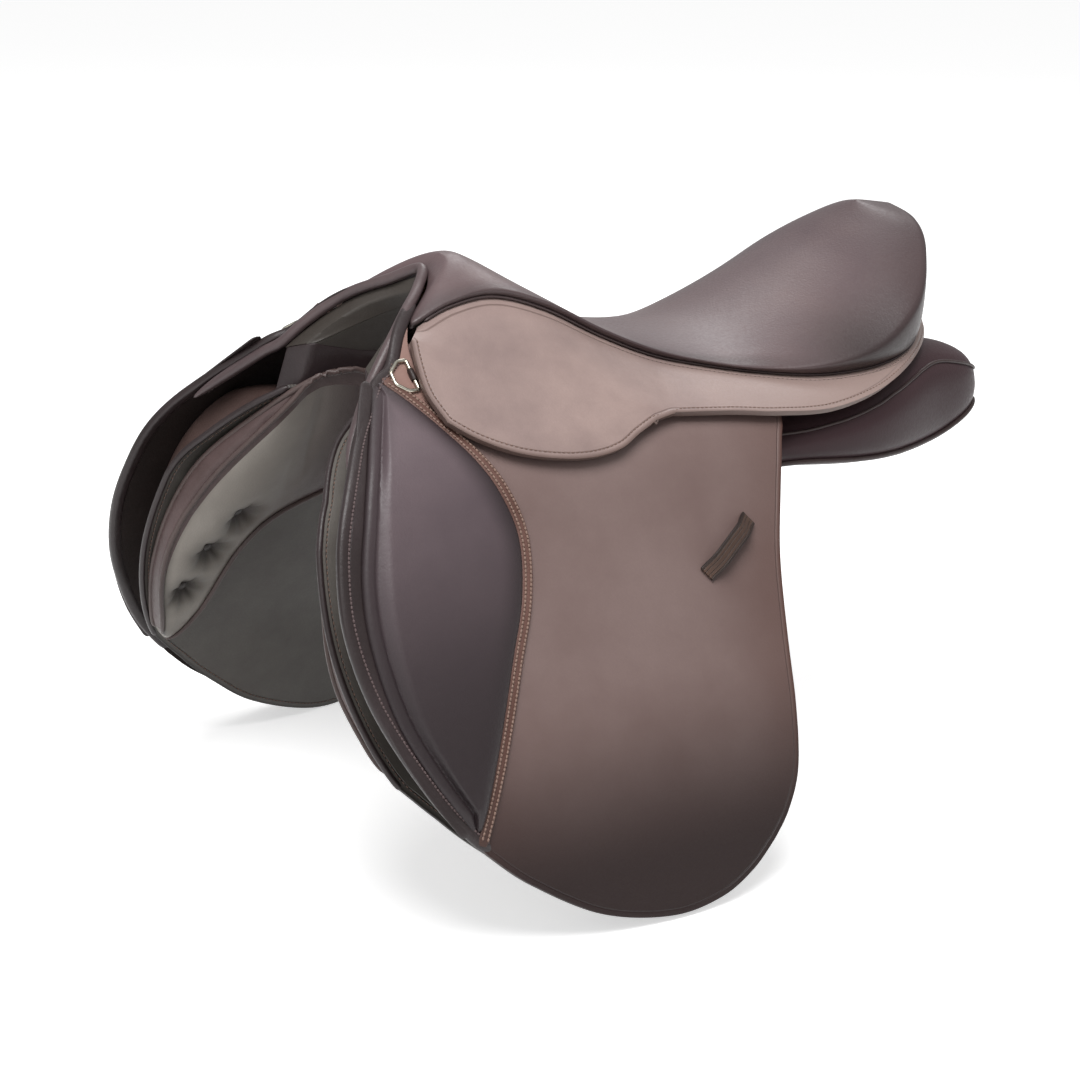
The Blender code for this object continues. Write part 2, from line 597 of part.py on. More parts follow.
def mirrored_grid(name, place, columns, rows, material, thickness, offset):
    """Half sheet on the left side, mirrored to the right and given its thickness."""
    bm = bmesh.new()
    bmesh.ops.create_grid(bm, x_segments=columns, y_segments=rows, size=1)
    for vertex in bm.verts:
        vertex.co = place((vertex.co.x + 1) / 2, (1 - vertex.co.y) / 2)
        if abs(vertex.co.y) < 1e-5:
            vertex.co.y = 0.0
    mesh = bpy.data.meshes.new(name)
    bm.to_mesh(mesh)
    bm.free()
    mesh.shade_smooth()
    obj = add_object(name, mesh, material)
    mirror = obj.modifiers.new("other half", 'MIRROR')
    mirror.use_axis = (False, True, False)
    mirror.merge_threshold = 0.00005
    solidify = obj.modifiers.new("thickness", 'SOLIDIFY')
    solidify.thickness = thickness
    solidify.offset = offset
    return obj


def make_seat():
    add_seat_layer("seat_cover", 0, 0.0, COVER_THICK, "seat leather")
    inner_row = round(LAYER_EDGE_SHARE * COVER_ROWS)
    foam_depth = COVER_THICK + 3 * GAP
    add_seat_layer("seat_foam", inner_row, foam_depth, FOAM_THICK, "foam")

    def is_wood(face, v_of):
        middle = sum(vertex[v_of] for vertex in face.verts) / len(face.verts)
        x = face.calc_center_median().x
        return middle < TREE_RAIL_SHARE or TREE_SOLID_FROM < x < TREE_SOLID_UNTIL

    tree_depth = foam_depth + FOAM_THICK + GAP
    add_seat_layer("tree", inner_row, tree_depth, TREE_THICK, "laminated wood", is_wood)


# Skirts: a fixed upper part on each side and a lobe that lifts
SKIRT_FIRST_COLUMN = 4
SKIRT_COLUMNS = SEAT_COLUMNS - SKIRT_FIRST_COLUMN
SKIRT_NOTCH_COLUMN = 8


def skirt_upper_edge(u, side):
    """Upper edge of the skirt, just outside the seat's seam."""
    t = (SKIRT_FIRST_COLUMN + SKIRT_COLUMNS * u) / SEAT_COLUMNS
    seam = seat_seam(t, side)
    ahead = seat_seam(min(t + 0.01, 1.0), side) - seat_seam(max(t - 0.01, 0.0), side)
    outward = skirt_lower_edge(u, side) - seam
    normal = ahead.cross(outward).normalized()
    if normal.z < 0:
        normal = -normal
    return seam - normal * (SKIRT_THICK / 2 + SKIRT_SEAM_GAP)


def skirt_lower_edge(u, side):
    """Lower edge of the fixed part: along the fold, then along the band to the rear middle."""
    notch_u = SKIRT_NOTCH_COLUMN / SKIRT_COLUMNS
    w = SKIRT_LIFT + SKIRT_THICK / 2
    if u <= notch_u:
        f = u / notch_u
        x = SKIRT_FOLD_FRONT[0] + (SKIRT_FOLD_REAR[0] - SKIRT_FOLD_FRONT[0]) * f
        s = SKIRT_FOLD_FRONT[1] + (SKIRT_FOLD_REAR[1] - SKIRT_FOLD_FRONT[1]) * f
        return side_place(x, s - SKIRT_FOLD_GAP, w, side)
    corner = side_place(SKIRT_FOLD_REAR[0], SKIRT_FOLD_REAR[1] - SKIRT_FOLD_GAP, w, 1)
    band = even_curve([corner] + [Vector(point) for point in BAND_LOW])
    place = band((u - notch_u) / (1 - notch_u))
    return Vector((place.x, side * place.y, place.z))


def skirt_fixed_place(side):
    def place(u, v):
        top, low = skirt_upper_edge(u, side), skirt_lower_edge(u, side)
        puff = BAND_PUFF * sin(pi * v) * smooth_step(u / 0.2) * smooth_step((1 - u) / 0.1 + 0.3)
        out = Vector((0.0, side * 0.68, 0.73)) if u < 0.7 else Vector((0.5, side * 0.5, 0.7))
        return top.lerp(low, v) + out.normalized() * puff
    return place


def skirt_face(side, offset):
    """Outer or inner face of the skirt's fixed part; both sides meet in a seam behind the cantle."""
    middle = skirt_fixed_place(side)
    step = 0.01

    def place(u, v):
        along = middle(min(u + step, 1.0), v) - middle(max(u - step, 0.0), v)
        across = middle(u, min(v + step, 1.0)) - middle(u, max(v - step, 0.0))
        normal = across.cross(along).normalized()
        if normal.z < 0:
            normal = -normal
        spot = middle(u, v) + normal * offset
        if u >= 1.0:
            spot.y = side * GAP / 2
        return spot
    return place


def make_skirts():
    w = SKIRT_LIFT + SKIRT_THICK / 2
    along = Vector((*SKIRT_FOLD_REAR, 0)) - Vector((*SKIRT_FOLD_FRONT, 0))
    square = Vector((-along.y, along.x, 0)).normalized() * HINGE_GAP
    fold = (Vector((*SKIRT_FOLD_FRONT, 0)) + square, Vector((*SKIRT_FOLD_REAR, 0)) + square)
    fold_edge = [(p.x, p.y, 0.0) for p in fold]
    for name, side in SIDES:
        add_two_faced("skirt_" + name, skirt_face(side, SKIRT_THICK / 2), skirt_face(side, -SKIRT_THICK / 2),
                      SKIRT_COLUMNS, 3, "skirt leather")
        lobe = patch_between(fold_edge, [(*p, 0) for p in LOBE_BOTTOM],
                             [fold_edge[0]] + [(*p, 0) for p in LOBE_FRONT[1:]],
                             [fold_edge[1]] + [(*p, 0) for p in LOBE_REAR[1:]])

        def lobe_place(u, v, lobe=lobe, side=side):
            spot = lobe(u, v)
            return side_place(spot.x, spot.y, w, side)

        origin = skirt_axis(side)[0]
        add_sheet("skirt_lobe_" + name, lobe_place, 10, 5, SKIRT_THICK, "skirt leather", origin)


def skirt_axis(side):
    """Point and direction of the skirt's fold, on the skirt's outer face."""
    w = SKIRT_LIFT + SKIRT_THICK
    start = side_place(*SKIRT_FOLD_FRONT, w, side)
    end = side_place(*SKIRT_FOLD_REAR, w, side)
    return start.lerp(end, 0.5), (end - start).normalized()


# Flaps: a fixed upper part and a lower part that lifts, with knee pads and keepers
def flap_axis(side):
    """Point and direction of the flap's fold."""
    middle = (FLAP_FRONT_LOWER[0][0] + FLAP_REAR_LOWER[0][0]) / 2
    return side_place(middle, FLAP_FOLD_S, FLAP_AXIS_LIFT, side), Vector((1, 0, 0))


def on_side(patch, w, side):
    def place(u, v):
        spot = patch(u, v)
        return side_place(spot.x, spot.y, w, side)
    return place


def make_flaps():
    upper_low = (FLAP_FRONT_UPPER[-1], FLAP_REAR_UPPER[-1])
    lower_top = (FLAP_FRONT_LOWER[0], FLAP_REAR_LOWER[0])
    upper = patch_between(*([(*p, 0) for p in edge] for edge in
                            (FLAP_TOP_EDGE, upper_low, FLAP_FRONT_UPPER, FLAP_REAR_UPPER)))
    lower = patch_between(*([(*p, 0) for p in edge] for edge in
                            (lower_top, FLAP_BOTTOM, FLAP_FRONT_LOWER, FLAP_REAR_LOWER)))
    for name, side in SIDES:
        top = add_sheet("flap_top_" + name, on_side(upper, -FLAP_THICK / 2, side), 12, 6,
                        FLAP_THICK, "flap leather")
        window = ((BAR_X[0] - BAR_WINDOW_MARGIN_X, BAR_S[0] - BAR_WINDOW_MARGIN_S),
                  (BAR_X[1] + BAR_WINDOW_REAR, BAR_S[1] + BAR_WINDOW_MARGIN_S))
        middle_s = (window[0][1] + window[1][1]) / 2
        frame = side_frame(0.0, middle_s, 0.0, side)
        half = (window[1][1] - window[0][1]) / 2
        outline = ((window[0][0], -half), (window[1][0], -half), (window[1][0], half), (window[0][0], half))
        cutter = add_prism("bar_window_" + name, outline, -0.012, 0.004, frame, "steel")
        cut_with(top, cutter)
        add_sheet("flap_" + name, on_side(lower, -FLAP_THICK / 2, side), 12, 12,
                  FLAP_THICK, "flap leather", flap_axis(side)[0])


def pad_rise(u, v, s):
    """Height of a knee pad over its flap: low at its edges, crowned inside, shallow at the fold."""
    crown = PAD_FOLD_CROWN + (PAD_CROWN - PAD_FOLD_CROWN) * smooth_step(abs(s - FLAP_FOLD_S) / PAD_FOLD_RUN)
    across = sqrt(max(0.0, 1 - (2 * u - 1) ** 2))
    return PAD_EDGE_RISE + (crown - PAD_EDGE_RISE) * across


def make_knee_pads():
    upper = patch_between(*([(*p, 0) for p in edge] for edge in
                            (PAD_TOP_CORNER, (PAD_FRONT_UPPER[-1], PAD_REAR_UPPER[-1]),
                             PAD_FRONT_UPPER, PAD_REAR_UPPER)))
    lower = patch_between(*([(*p, 0) for p in edge] for edge in
                            ((PAD_FRONT_LOWER[0], PAD_REAR_LOWER[0]),
                             (PAD_FRONT_LOWER[-1], PAD_REAR_LOWER[-1]),
                             PAD_FRONT_LOWER, PAD_REAR_LOWER)))
    for name, side in SIDES:
        def faces(patch, closes_at):
            def outer(u, v):
                spot = patch(u, v)
                rise = pad_rise(u, v, spot.y)
                end = sqrt(min(1.0, abs(v - closes_at) / 0.12))
                rise = PAD_EDGE_RISE + (rise - PAD_EDGE_RISE) * end
                return side_place(spot.x, spot.y, GAP + rise, side)

            def inner(u, v):
                spot = patch(u, v)
                return side_place(spot.x, spot.y, GAP, side)
            return outer, inner

        outer, inner = faces(upper, 0.0)
        add_two_faced("knee_pad_top_" + name, outer, inner, 6, 5, "pad leather")
        outer, inner = faces(lower, 1.0)
        add_two_faced("knee_pad_" + name, outer, inner, 6, 11, "pad leather", flap_axis(side)[0])


def make_keepers():
    """Leather loop on the flap that holds the stirrup leather's end."""
    (x0, s0), (x1, s1) = KEEPER_ENDS
    middle_x, middle_s = (x0 + x1) / 2, (s0 + s1) / 2
    length = sqrt((x1 - x0) ** 2 + (s1 - s0) ** 2)
    for name, side in SIDES:
        frame = side_frame(middle_x, middle_s, GAP, side)
        along = Vector((x1 - x0, s1 - s0, 0)).normalized()
        across = Vector((-along.y, along.x, 0))
        half, foot = length / 2, 0.009
        profile = ((-half, 0), (half, 0), (half, KEEPER_THICK), (half - foot, KEEPER_THICK),
                   (half - foot - 0.004, KEEPER_RISE), (-half + foot + 0.004, KEEPER_RISE),
                   (-half + foot, KEEPER_THICK), (-half, KEEPER_THICK))
        inside = ((half - foot - 0.001, 0), (half - foot - 0.005, KEEPER_RISE - KEEPER_THICK),
                  (-half + foot + 0.005, KEEPER_RISE - KEEPER_THICK), (-half + foot + 0.001, 0))
        loop = (profile[1:] + (profile[0],) + inside[::-1])
        bm = bmesh.new()
        turn = Matrix((along, Vector((0, 0, 1)), across)).transposed().to_4x4()
        outline_prism(bm, loop, -KEEPER_WIDTH / 2, KEEPER_WIDTH / 2, frame @ turn)
        add_object("keeper_" + name, mesh_from(bm, "keeper_" + name), "flap leather", flap_axis(side)[0])


# Sweat flaps, knee blocks and panels
def sweat_place(patch, extra, side):
    def place(u, v):
        spot = patch(u, v)
        return side_place(spot.x, spot.y, -sweat_depth(spot.x) - extra, side)
    return place


def make_sweat_flaps():
    patch = patch_between(*([(*p, 0) for p in edge] for edge in
                            (SWEAT_TOP, SWEAT_BOTTOM, SWEAT_FRONT, SWEAT_REAR)))
    for name, side in SIDES:
        add_sheet("sweat_flap_" + name, sweat_place(patch, SWEAT_THICK / 2, side), 10, 12,
                  SWEAT_THICK, "flap leather")


def make_knee_blocks():
    patch = patch_between(*([(*p, 0) for p in edge] for edge in
                            ((BLOCK_FRONT[0], BLOCK_REAR[0]), (BLOCK_FRONT[-1], BLOCK_REAR[-1]),
                             BLOCK_FRONT, BLOCK_REAR)))
    for name, side in SIDES:
        def inner(u, v, side=side):
            spot = patch(u, v)
            return side_place(spot.x, spot.y, -sweat_depth(spot.x) + BLOCK_SEAT, side)

        def outer(u, v, side=side):
            spot = patch(u, v)
            base = -sweat_depth(spot.x) + BLOCK_SEAT
            full = -FLAP_THICK - BLOCK_TOP_CLEARANCE - base
            dome = sqrt(max(0.0, 1 - (2 * u - 1) ** 4)) * sqrt(max(0.0, 1 - (2 * v - 1) ** 8))
            rise = 0.006 + (full - 0.006) * dome
            return side_place(spot.x, spot.y, base + rise, side)

        add_two_faced("knee_block_" + name, outer, inner, 6, 8, "flap leather")


def panel_ring(station, side):
    """Eight places round one section of the panel, from the channel's lower edge over the top."""
    if len(station) == 5:
        low, high, top, out_high, out_low = (Vector(p) for p in station)
    else:
        low = Vector(station[0])
        depth = SWEAT_THICK + 2 * GAP

        def under_sweat(spot, thick):
            return side_place(spot[0], spot[1], -sweat_depth(spot[0]) - depth - thick, 1)

        high, out_high = under_sweat(station[1], 0.0), under_sweat(station[2], 0.0)
        middle = ((station[1][0] + station[2][0]) / 2, (station[1][1] + station[2][1]) / 2)
        top = under_sweat(middle, 0.0)
        out_low = under_sweat(station[2], station[3])
    centre = (low + high + out_high + out_low) / 4

    def crowned(a, b, amount):
        middle = (a + b) / 2
        return middle + (middle - centre).normalized() * amount

    ring = [low, (low + high) / 2, high, top, out_high, crowned(out_high, out_low, PANEL_CROWN / 2),
            out_low, crowned(out_low, low, PANEL_CROWN)]
    return [Vector((p.x, side * p.y, p.z)) for p in ring]


def make_panels():
    stations = PANEL_BODY + PANEL_LEG
    first_leg = len(PANEL_BODY)
    for name, side in SIDES:
        rings = [panel_ring(station, side) for station in stations]
        bm = bmesh.new()
        around = len(rings[0])
        bmesh.ops.create_grid(bm, x_segments=around, y_segments=len(rings) - 1, size=1)
        for vertex in bm.verts:
            column = round((vertex.co.x + 1) / 2 * around) % around
            row = round((1 - vertex.co.y) / 2 * (len(rings) - 1))
            vertex.co = rings[row][column]
        bmesh.ops.remove_doubles(bm, verts=bm.verts, dist=1e-6)
        bmesh.ops.holes_fill(bm, edges=bm.edges, sides=around)
        mesh = mesh_from(bm, "panel_" + name, 180)
        pinch = mesh.attributes.new("crease_vert", 'FLOAT', 'POINT')
        for station in TUFT_STATIONS:
            row = first_leg + round(station)
            ring = rings[row]
            pull = (ring[3] - ring[7]).normalized() * TUFT_DEPTH
            for vertex in mesh.vertices:
                if (vertex.co - ring[7]).length < 1e-6:
                    vertex.co += pull
                    pinch.data[vertex.index].value = 1.0
        obj = add_object("panel_" + name, mesh, "panel leather")
        smooth = obj.modifiers.new("stuffing", 'SUBSURF')
        smooth.levels = 1
        smooth.render_levels = 1


# Girth billets and their webs
def make_billets():
    half = BILLET_WIDTH / 2
    for name, side in SIDES:
        web_w = -(BILLET_DEPTH_OUTER + BILLET_THICK + BILLET_DEPTH_INNER) / 2
        (x0, x1), (s0, s1, s2) = GIRTH_WEB_X, GIRTH_WEB_S
        corners = [(x0, s0, 0), (x1, s1, 0), (x0, s2, 0), (x1, s2, 0)]
        web = patch_between(corners[:2], corners[2:], corners[::2], corners[1::2])
        add_sheet("girth_web_" + name, on_side(web, web_w, side), 4, 6, WEB_THICK, "webbing")
        for label, x, deep in BILLETS:
            depth = (BILLET_DEPTH_INNER if deep else BILLET_DEPTH_OUTER) + BILLET_THICK / 2

            def place(u, v, x=x, depth=depth, side=side):
                s = BILLET_TOP_S + (BILLET_END_S - BILLET_TOP_S) * v
                narrow = 1 - 0.55 * smooth_step((v - 0.94) / 0.06)
                return side_place(x + half * (2 * u - 1) * narrow, s, -depth, side)

            axis = side_place(x, BILLET_AXIS_S, -depth, side)
            add_sheet("billet_" + label + "_" + name, place, 1, 12, BILLET_THICK, "flap leather", axis)


# Head plate, stirrup bars, catches and rivets
def make_head_plate():
    arm_w = BAR_PLATE_W[0] - GAP - HEAD_PLATE_THICK / 2
    s_low, s_high = HEAD_PLATE_S[1], HEAD_PLATE_S[0]
    x_front, x_rear = HEAD_PLATE_X
    shoulder = side_place(0.0, s_high, arm_w, 1)
    knee = side_place(0.0, s_high - 0.030, arm_w, 1)
    crest = Vector((0.0, 0.0, HEAD_ARCH_TOP))
    bend = Vector((0.0, knee.y, HEAD_ARCH_TOP))
    arm_rows, arch_rows = 5, 5

    def place(u, v):
        row = v * (arm_rows + arch_rows)
        rake = HEAD_PLATE_RAKE[0] + (HEAD_PLATE_RAKE[1] - HEAD_PLATE_RAKE[0]) * u
        x = x_front + (x_rear - x_front) * u + rake * smooth_step(row / arch_rows - 1)
        if row <= arm_rows:
            spot = side_place(0.0, s_low + (s_high - s_low) * row / arm_rows, arm_w, 1)
        else:
            f = (row - arm_rows) / arch_rows
            spot = shoulder * (1 - f) ** 2 + bend * 2 * f * (1 - f) + crest * f ** 2
        return Vector((x, -spot.y, spot.z))

    mirrored_grid("head_plate", place, 2, arm_rows + arch_rows, "steel", HEAD_PLATE_THICK, 0.0)


def make_bars():
    for name, side in SIDES:
        middle_s = (BAR_S[0] + BAR_S[1]) / 2
        frame = side_frame(0.0, middle_s, 0.0, side)
        turn = Matrix(((1, 0, 0), (0, 0, 1), (0, 1, 0))).to_4x4()
        x0, x1 = BAR_X
        plate, blade = BAR_PLATE_W, BAR_BLADE_W
        outline = ((x0, plate[0]), (x1, plate[0]), (x1, plate[1]), (x0 + BAR_NECK, plate[1]),
                   (x0 + BAR_NECK, blade[0]), (x1 - 0.004, blade[0]), (x1 - 0.001, blade[0] + 0.0012),
                   (x1 - 0.001, blade[1]), (x0 + 0.003, blade[1]), (x0, blade[1] - 0.003))
        half = (BAR_S[1] - BAR_S[0]) / 2
        bar = add_prism("stirrup_bar_" + name, outline, -half, half, frame @ turn, "steel")
        catch_x = x1 + GAP + CATCH_WIDTH / 2
        axis_w = (plate[0] + plate[1]) / 2
        tip_w = axis_w + CATCH_LENGTH
        radius = CATCH_WIDTH / 2
        foot = [(catch_x + radius * cos(a), axis_w + radius * sin(a))
                for a in (pi * (1 + i / 6) for i in range(7))]
        catch = [(catch_x + radius, tip_w - 0.001), (catch_x + radius - 0.001, tip_w),
                 (catch_x - radius, tip_w)]
        origin = side_frame(0.0, middle_s, 0.0, side) @ Vector((catch_x, 0.0, axis_w))
        add_prism("bar_catch_" + name, tuple(foot + catch), -half * 0.7, half * 0.7, frame @ turn,
                  "steel", origin)
        for index, inset in enumerate(RIVET_INSETS):
            x = x0 + inset
            spot = side_frame(x, middle_s, 0.0, side)
            for target in (bar, bpy.data.objects["head_plate"]):
                cutter = cylinder_mesh("rivet_hole_%s_%d_%s" % (name, index, target.name), spot,
                                       plate[0] - HEAD_PLATE_THICK - 0.003, plate[1] + 0.0005,
                                       RIVET_RADIUS + GAP)
                cut_with(target, cutter)
            rivet_low = plate[0] - GAP - HEAD_PLATE_THICK - GAP - 0.0012
            label = ("front", "rear")[index]
            rivet("bar_rivet_%s_%s" % (label, name), spot, rivet_low, plate[1] + GAP)


def cylinder_mesh(name, frame, low, high, radius, material="steel"):
    bm = bmesh.new()
    bmesh.ops.create_cone(bm, cap_ends=True, segments=12, radius1=radius, radius2=radius, depth=high - low)
    bmesh.ops.transform(bm, verts=bm.verts, matrix=frame @ Matrix.Translation((0, 0, (low + high) / 2)))
    return add_object(name, mesh_from(bm, name), material)


def rivet(name, frame, low, high):
    """Rivet with a head on each end of its shank, turned from one half outline."""
    head, tall, chamfer = RIVET_RADIUS * 1.6, 0.0012, 0.0001
    outline = ((0.0, low), (head * 0.8, low), (head, low + tall / 2), (head, low + tall - chamfer),
               (RIVET_RADIUS, low + tall), (RIVET_RADIUS, high), (head, high + chamfer),
               (head, high + tall / 2), (head * 0.8, high + tall), (0.0, high + tall))
    bm = bmesh.new()
    verts = [bm.verts.new((radius, 0.0, level)) for radius, level in outline]
    edges = [bm.edges.new(pair) for pair in zip(verts, verts[1:])]
    bmesh.ops.spin(bm, geom=verts + edges, cent=(0, 0, 0), axis=(0, 0, 1), angle=2 * pi, steps=12)
    bmesh.ops.remove_doubles(bm, verts=bm.verts, dist=0.00001)
    bmesh.ops.transform(bm, verts=bm.verts, matrix=frame)
    return add_object(name, mesh_from(bm, name), "steel")


# Rings and tabs at the front, pommel welt and gullet lining
def make_rings():
    s_mid = (RING_S[0] + RING_S[1]) / 2
    half = (RING_S[1] - RING_S[0]) / 2
    for name, side in SIDES:
        frame = side_frame(RING_X, s_mid, RING_W, side)
        reach = RING_REACH
        corners = ((0, -half), (-reach * 0.45, -half), (-reach, -half * 0.35), (-reach, half * 0.45),
                   (-reach * 0.5, half), (0, half))
        path = [frame @ Vector((x, y, 0)) for x, y in corners]
        origin = frame.translation
        add_tube("d_ring_" + name, path, RING_WIRE, "nickel silver", 1, True, origin)
        tab_inner = RING_WIRE + TAB_CLEARANCE
        tab_outer = tab_inner + TAB_WALL
        sides = 8
        def octagon(radius):
            return [(radius * cos(2 * pi * (i + 0.5) / sides) / cos(pi / sides),
                     radius * sin(2 * pi * (i + 0.5) / sides) / cos(pi / sides)) for i in range(sides)]
        turn = Matrix(((1, 0, 0), (0, 0, 1), (0, 1, 0))).to_4x4()
        bm = bmesh.new()
        outline_prism(bm, octagon(tab_outer), -TAB_LENGTH / 2, TAB_LENGTH / 2, frame @ turn)
        tab = add_object("ring_tab_" + name, mesh_from(bm, "ring_tab_" + name), "flap leather")
        hole = add_prism("tab_hole_" + name, octagon(tab_inner), -TAB_LENGTH, TAB_LENGTH,
                         frame @ turn, "steel")
        cut_with(tab, hole)


def make_welt():
    right = [Vector(p) for p in WELT_PATH]
    walk = even_curve([Vector((p.x, -p.y, p.z)) for p in reversed(right[1:])] + right)
    steps = 26
    add_tube("pommel_welt", [walk(i / steps) for i in range(steps + 1)], WELT_RADIUS, "skirt leather", 2)


def make_facing():
    centre_edge = [Vector(FACING_OUTER[-1]), Vector(FACING_INNER[-1])]
    low_edge = [Vector(FACING_OUTER[0]), Vector(FACING_INNER[0])]
    patch = patch_between(FACING_OUTER, FACING_INNER, low_edge, centre_edge)

    def place(u, v):
        spot = patch(u, v)
        return Vector((spot.x, -spot.y, spot.z))

    mirrored_grid("head_facing", place, 10, 1, "panel leather", FACING_THICK, 0.0)


def make_lining():
    def place(u, v):
        edge = spline([(row[0], row[1], row[2]) for row in LINING], u)
        crown = spline([(row[3], 0.0, row[4]) for row in LINING], u)
        q = 1 - v
        x = crown.x + (edge.x - crown.x) * q * q
        return Vector((x, -edge.y * q, crown.z - (crown.z - edge.z) * q * q))

    mirrored_grid("gullet_lining", place, 16, 3, "panel leather", LINING_THICK, 0.0)


make_seat()
make_skirts()
make_flaps()
make_knee_pads()
make_keepers()
make_sweat_flaps()
make_knee_blocks()
make_panels()
make_billets()
make_head_plate()
make_bars()
make_rings()
make_welt()
make_facing()
make_lining()
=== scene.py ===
"""Looks of an English general purpose saddle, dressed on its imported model, in metres.

Frame: +X to the cantle, -Y to the left or near side, +Z up. Leather on the side of the saddle is laid out
on one side surface: x along the saddle, s down it from its top line, w outwards from the flap's face.
"""

from contextlib import contextmanager
from math import sin, cos, radians, pi, sqrt, atan2, exp

import bmesh
import bpy
import numpy as np
from mathutils import Matrix, Vector
from mathutils.bvhtree import BVHTree


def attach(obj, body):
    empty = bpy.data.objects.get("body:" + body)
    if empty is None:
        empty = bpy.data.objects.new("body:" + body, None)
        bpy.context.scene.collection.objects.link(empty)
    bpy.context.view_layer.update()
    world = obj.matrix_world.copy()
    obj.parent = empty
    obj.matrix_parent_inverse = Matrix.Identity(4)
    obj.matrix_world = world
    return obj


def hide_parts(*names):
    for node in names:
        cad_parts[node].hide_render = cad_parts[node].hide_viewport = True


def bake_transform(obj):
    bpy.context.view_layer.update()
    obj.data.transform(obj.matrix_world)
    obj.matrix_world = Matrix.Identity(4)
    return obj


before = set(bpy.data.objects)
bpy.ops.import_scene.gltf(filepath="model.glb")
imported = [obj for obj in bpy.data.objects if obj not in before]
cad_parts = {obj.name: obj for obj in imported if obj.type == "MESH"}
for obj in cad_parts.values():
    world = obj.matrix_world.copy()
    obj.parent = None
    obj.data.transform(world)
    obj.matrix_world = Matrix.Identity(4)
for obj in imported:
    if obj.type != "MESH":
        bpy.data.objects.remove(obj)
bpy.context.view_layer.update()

# The tree: laminated beech in two rails that meet in a solid head, under the seat's webs and foam.
# It is pressed from crossed veneers, sanded and varnished, so its edges show thin bands of wood.


def linear(code):
    """Linear colour with full alpha from a hex sRGB colour."""
    parts = [int(code[i:i + 2], 16) / 255 for i in (1, 3, 5)]
    return tuple(c / 12.92 if c <= 0.04045 else ((c + 0.055) / 1.055) ** 2.4 for c in parts) + (1.0,)


def set_inputs(tree, node, inputs):
    """Give a node's inputs their values, or link them to the outputs of other nodes."""
    for key, value in inputs.items():
        if isinstance(value, bpy.types.NodeSocket):
            tree.links.new(value, node.inputs[key])
        else:
            node.inputs[key].default_value = value


def add_node(tree, kind, inputs=None, **settings):
    """A node with its settings, whose inputs are values or the outputs of other nodes."""
    node = tree.nodes.new(kind)
    for key, value in settings.items():
        setattr(node, key, value)
    set_inputs(tree, node, inputs or {})
    return node


def new_finish(name):
    """Material with its Principled shader, its node tree and its Object coordinates."""
    material = bpy.data.materials.new(name)
    material.use_nodes = True
    tree = material.node_tree
    shader = tree.nodes["Principled BSDF"]
    spot = add_node(tree, "ShaderNodeTexCoord").outputs["Object"]
    return material, tree, shader, spot


def dress(node_name, material):
    """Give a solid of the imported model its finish."""
    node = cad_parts[node_name]
    node.data.materials.clear()
    node.data.materials.append(material)


def varnished_beech():
    """Beech laminate under satin varnish: warm straight grain with fine dark lines between veneers."""
    material, tree, shader, spot = new_finish("varnished_beech_laminate")
    stretched = add_node(tree, "ShaderNodeMapping", {"Vector": spot, "Scale": (12.0, 260.0, 260.0)})
    fibres = add_node(tree, "ShaderNodeTexNoise",
                      {"Vector": stretched.outputs[0], "Scale": 1.0, "Detail": 6.0})
    veneers = add_node(tree, "ShaderNodeTexWave", {"Vector": spot, "Scale": 260.0, "Distortion": 0.4},
                       bands_direction='Z')
    ramp = add_node(tree, "ShaderNodeMix", {0: fibres.outputs[0], 6: linear("#8d6238"), 7: linear("#c79a63")},
                    data_type='RGBA')
    lined = add_node(tree, "ShaderNodeMix", {0: veneers.outputs[1], 6: linear("#7a5230"), 7: ramp.outputs[2]},
                     data_type='RGBA')
    bump = add_node(tree, "ShaderNodeBump", {"Height": fibres.outputs[0], "Distance": 0.0002})
    set_inputs(tree, shader, {"Base Color": lined.outputs[2], "Normal": bump.outputs[0], "Roughness": 0.38})
    return material


dress("tree", varnished_beech())

# The head plate, stirrup bars, catches and rivets: forged and pressed steel on the tree's head.
# They are tumbled and lacquered against rust, so they are dull grey with fine random scratches.


def lacquered_steel():
    """Tumbled steel: mid grey metal whose gloss varies with fine scratches."""
    material, tree, shader, spot = new_finish("tumbled_lacquered_steel")
    scratches = add_node(tree, "ShaderNodeTexNoise", {"Vector": spot, "Scale": 900.0, "Detail": 8.0})
    clouds = add_node(tree, "ShaderNodeTexNoise", {"Vector": spot, "Scale": 55.0, "Detail": 3.0})
    tint = add_node(tree, "ShaderNodeMix", {0: clouds.outputs[0], 6: linear("#6f6f72"), 7: linear("#a2a1a0")},
                    data_type='RGBA')
    gloss = add_node(tree, "ShaderNodeMapRange", {0: scratches.outputs[0], 3: 0.28, 4: 0.5})
    bump = add_node(tree, "ShaderNodeBump", {"Height": scratches.outputs[0], "Distance": 0.00005})
    set_inputs(tree, shader, {"Base Color": tint.outputs[2], "Roughness": gloss.outputs[0],
                              "Normal": bump.outputs[0], "Metallic": 1.0})
    return material


# Each side's ending in names, and what a left place's y is multiplied by there
SIDES = (("_left", 1), ("_right", -1))
steel = lacquered_steel()
dress("head_plate", steel)
for side, _ in SIDES:
    for fitting in ("stirrup_bar", "bar_catch", "bar_rivet_front", "bar_rivet_rear"):
        dress(fitting + side, steel)

# Girth webs and billets: a woven cotton web on each side and three straps cut from bridle leather.
# Each strap has a stitched border, a row of punched oval holes and a point at its lower end.

# The side surface: half breadth and height of its top line, then its bends down s.
# Each bend holds the lean from upright at its start and end in degrees, and its length.
SIDE_TOP = (0.037, 0.159)
SIDE_BENDS = ((47, 47, 0.120), (47, 26, 0.050), (26, 26, 0.157), (26, 17, 0.043), (17, 17, 0.120))
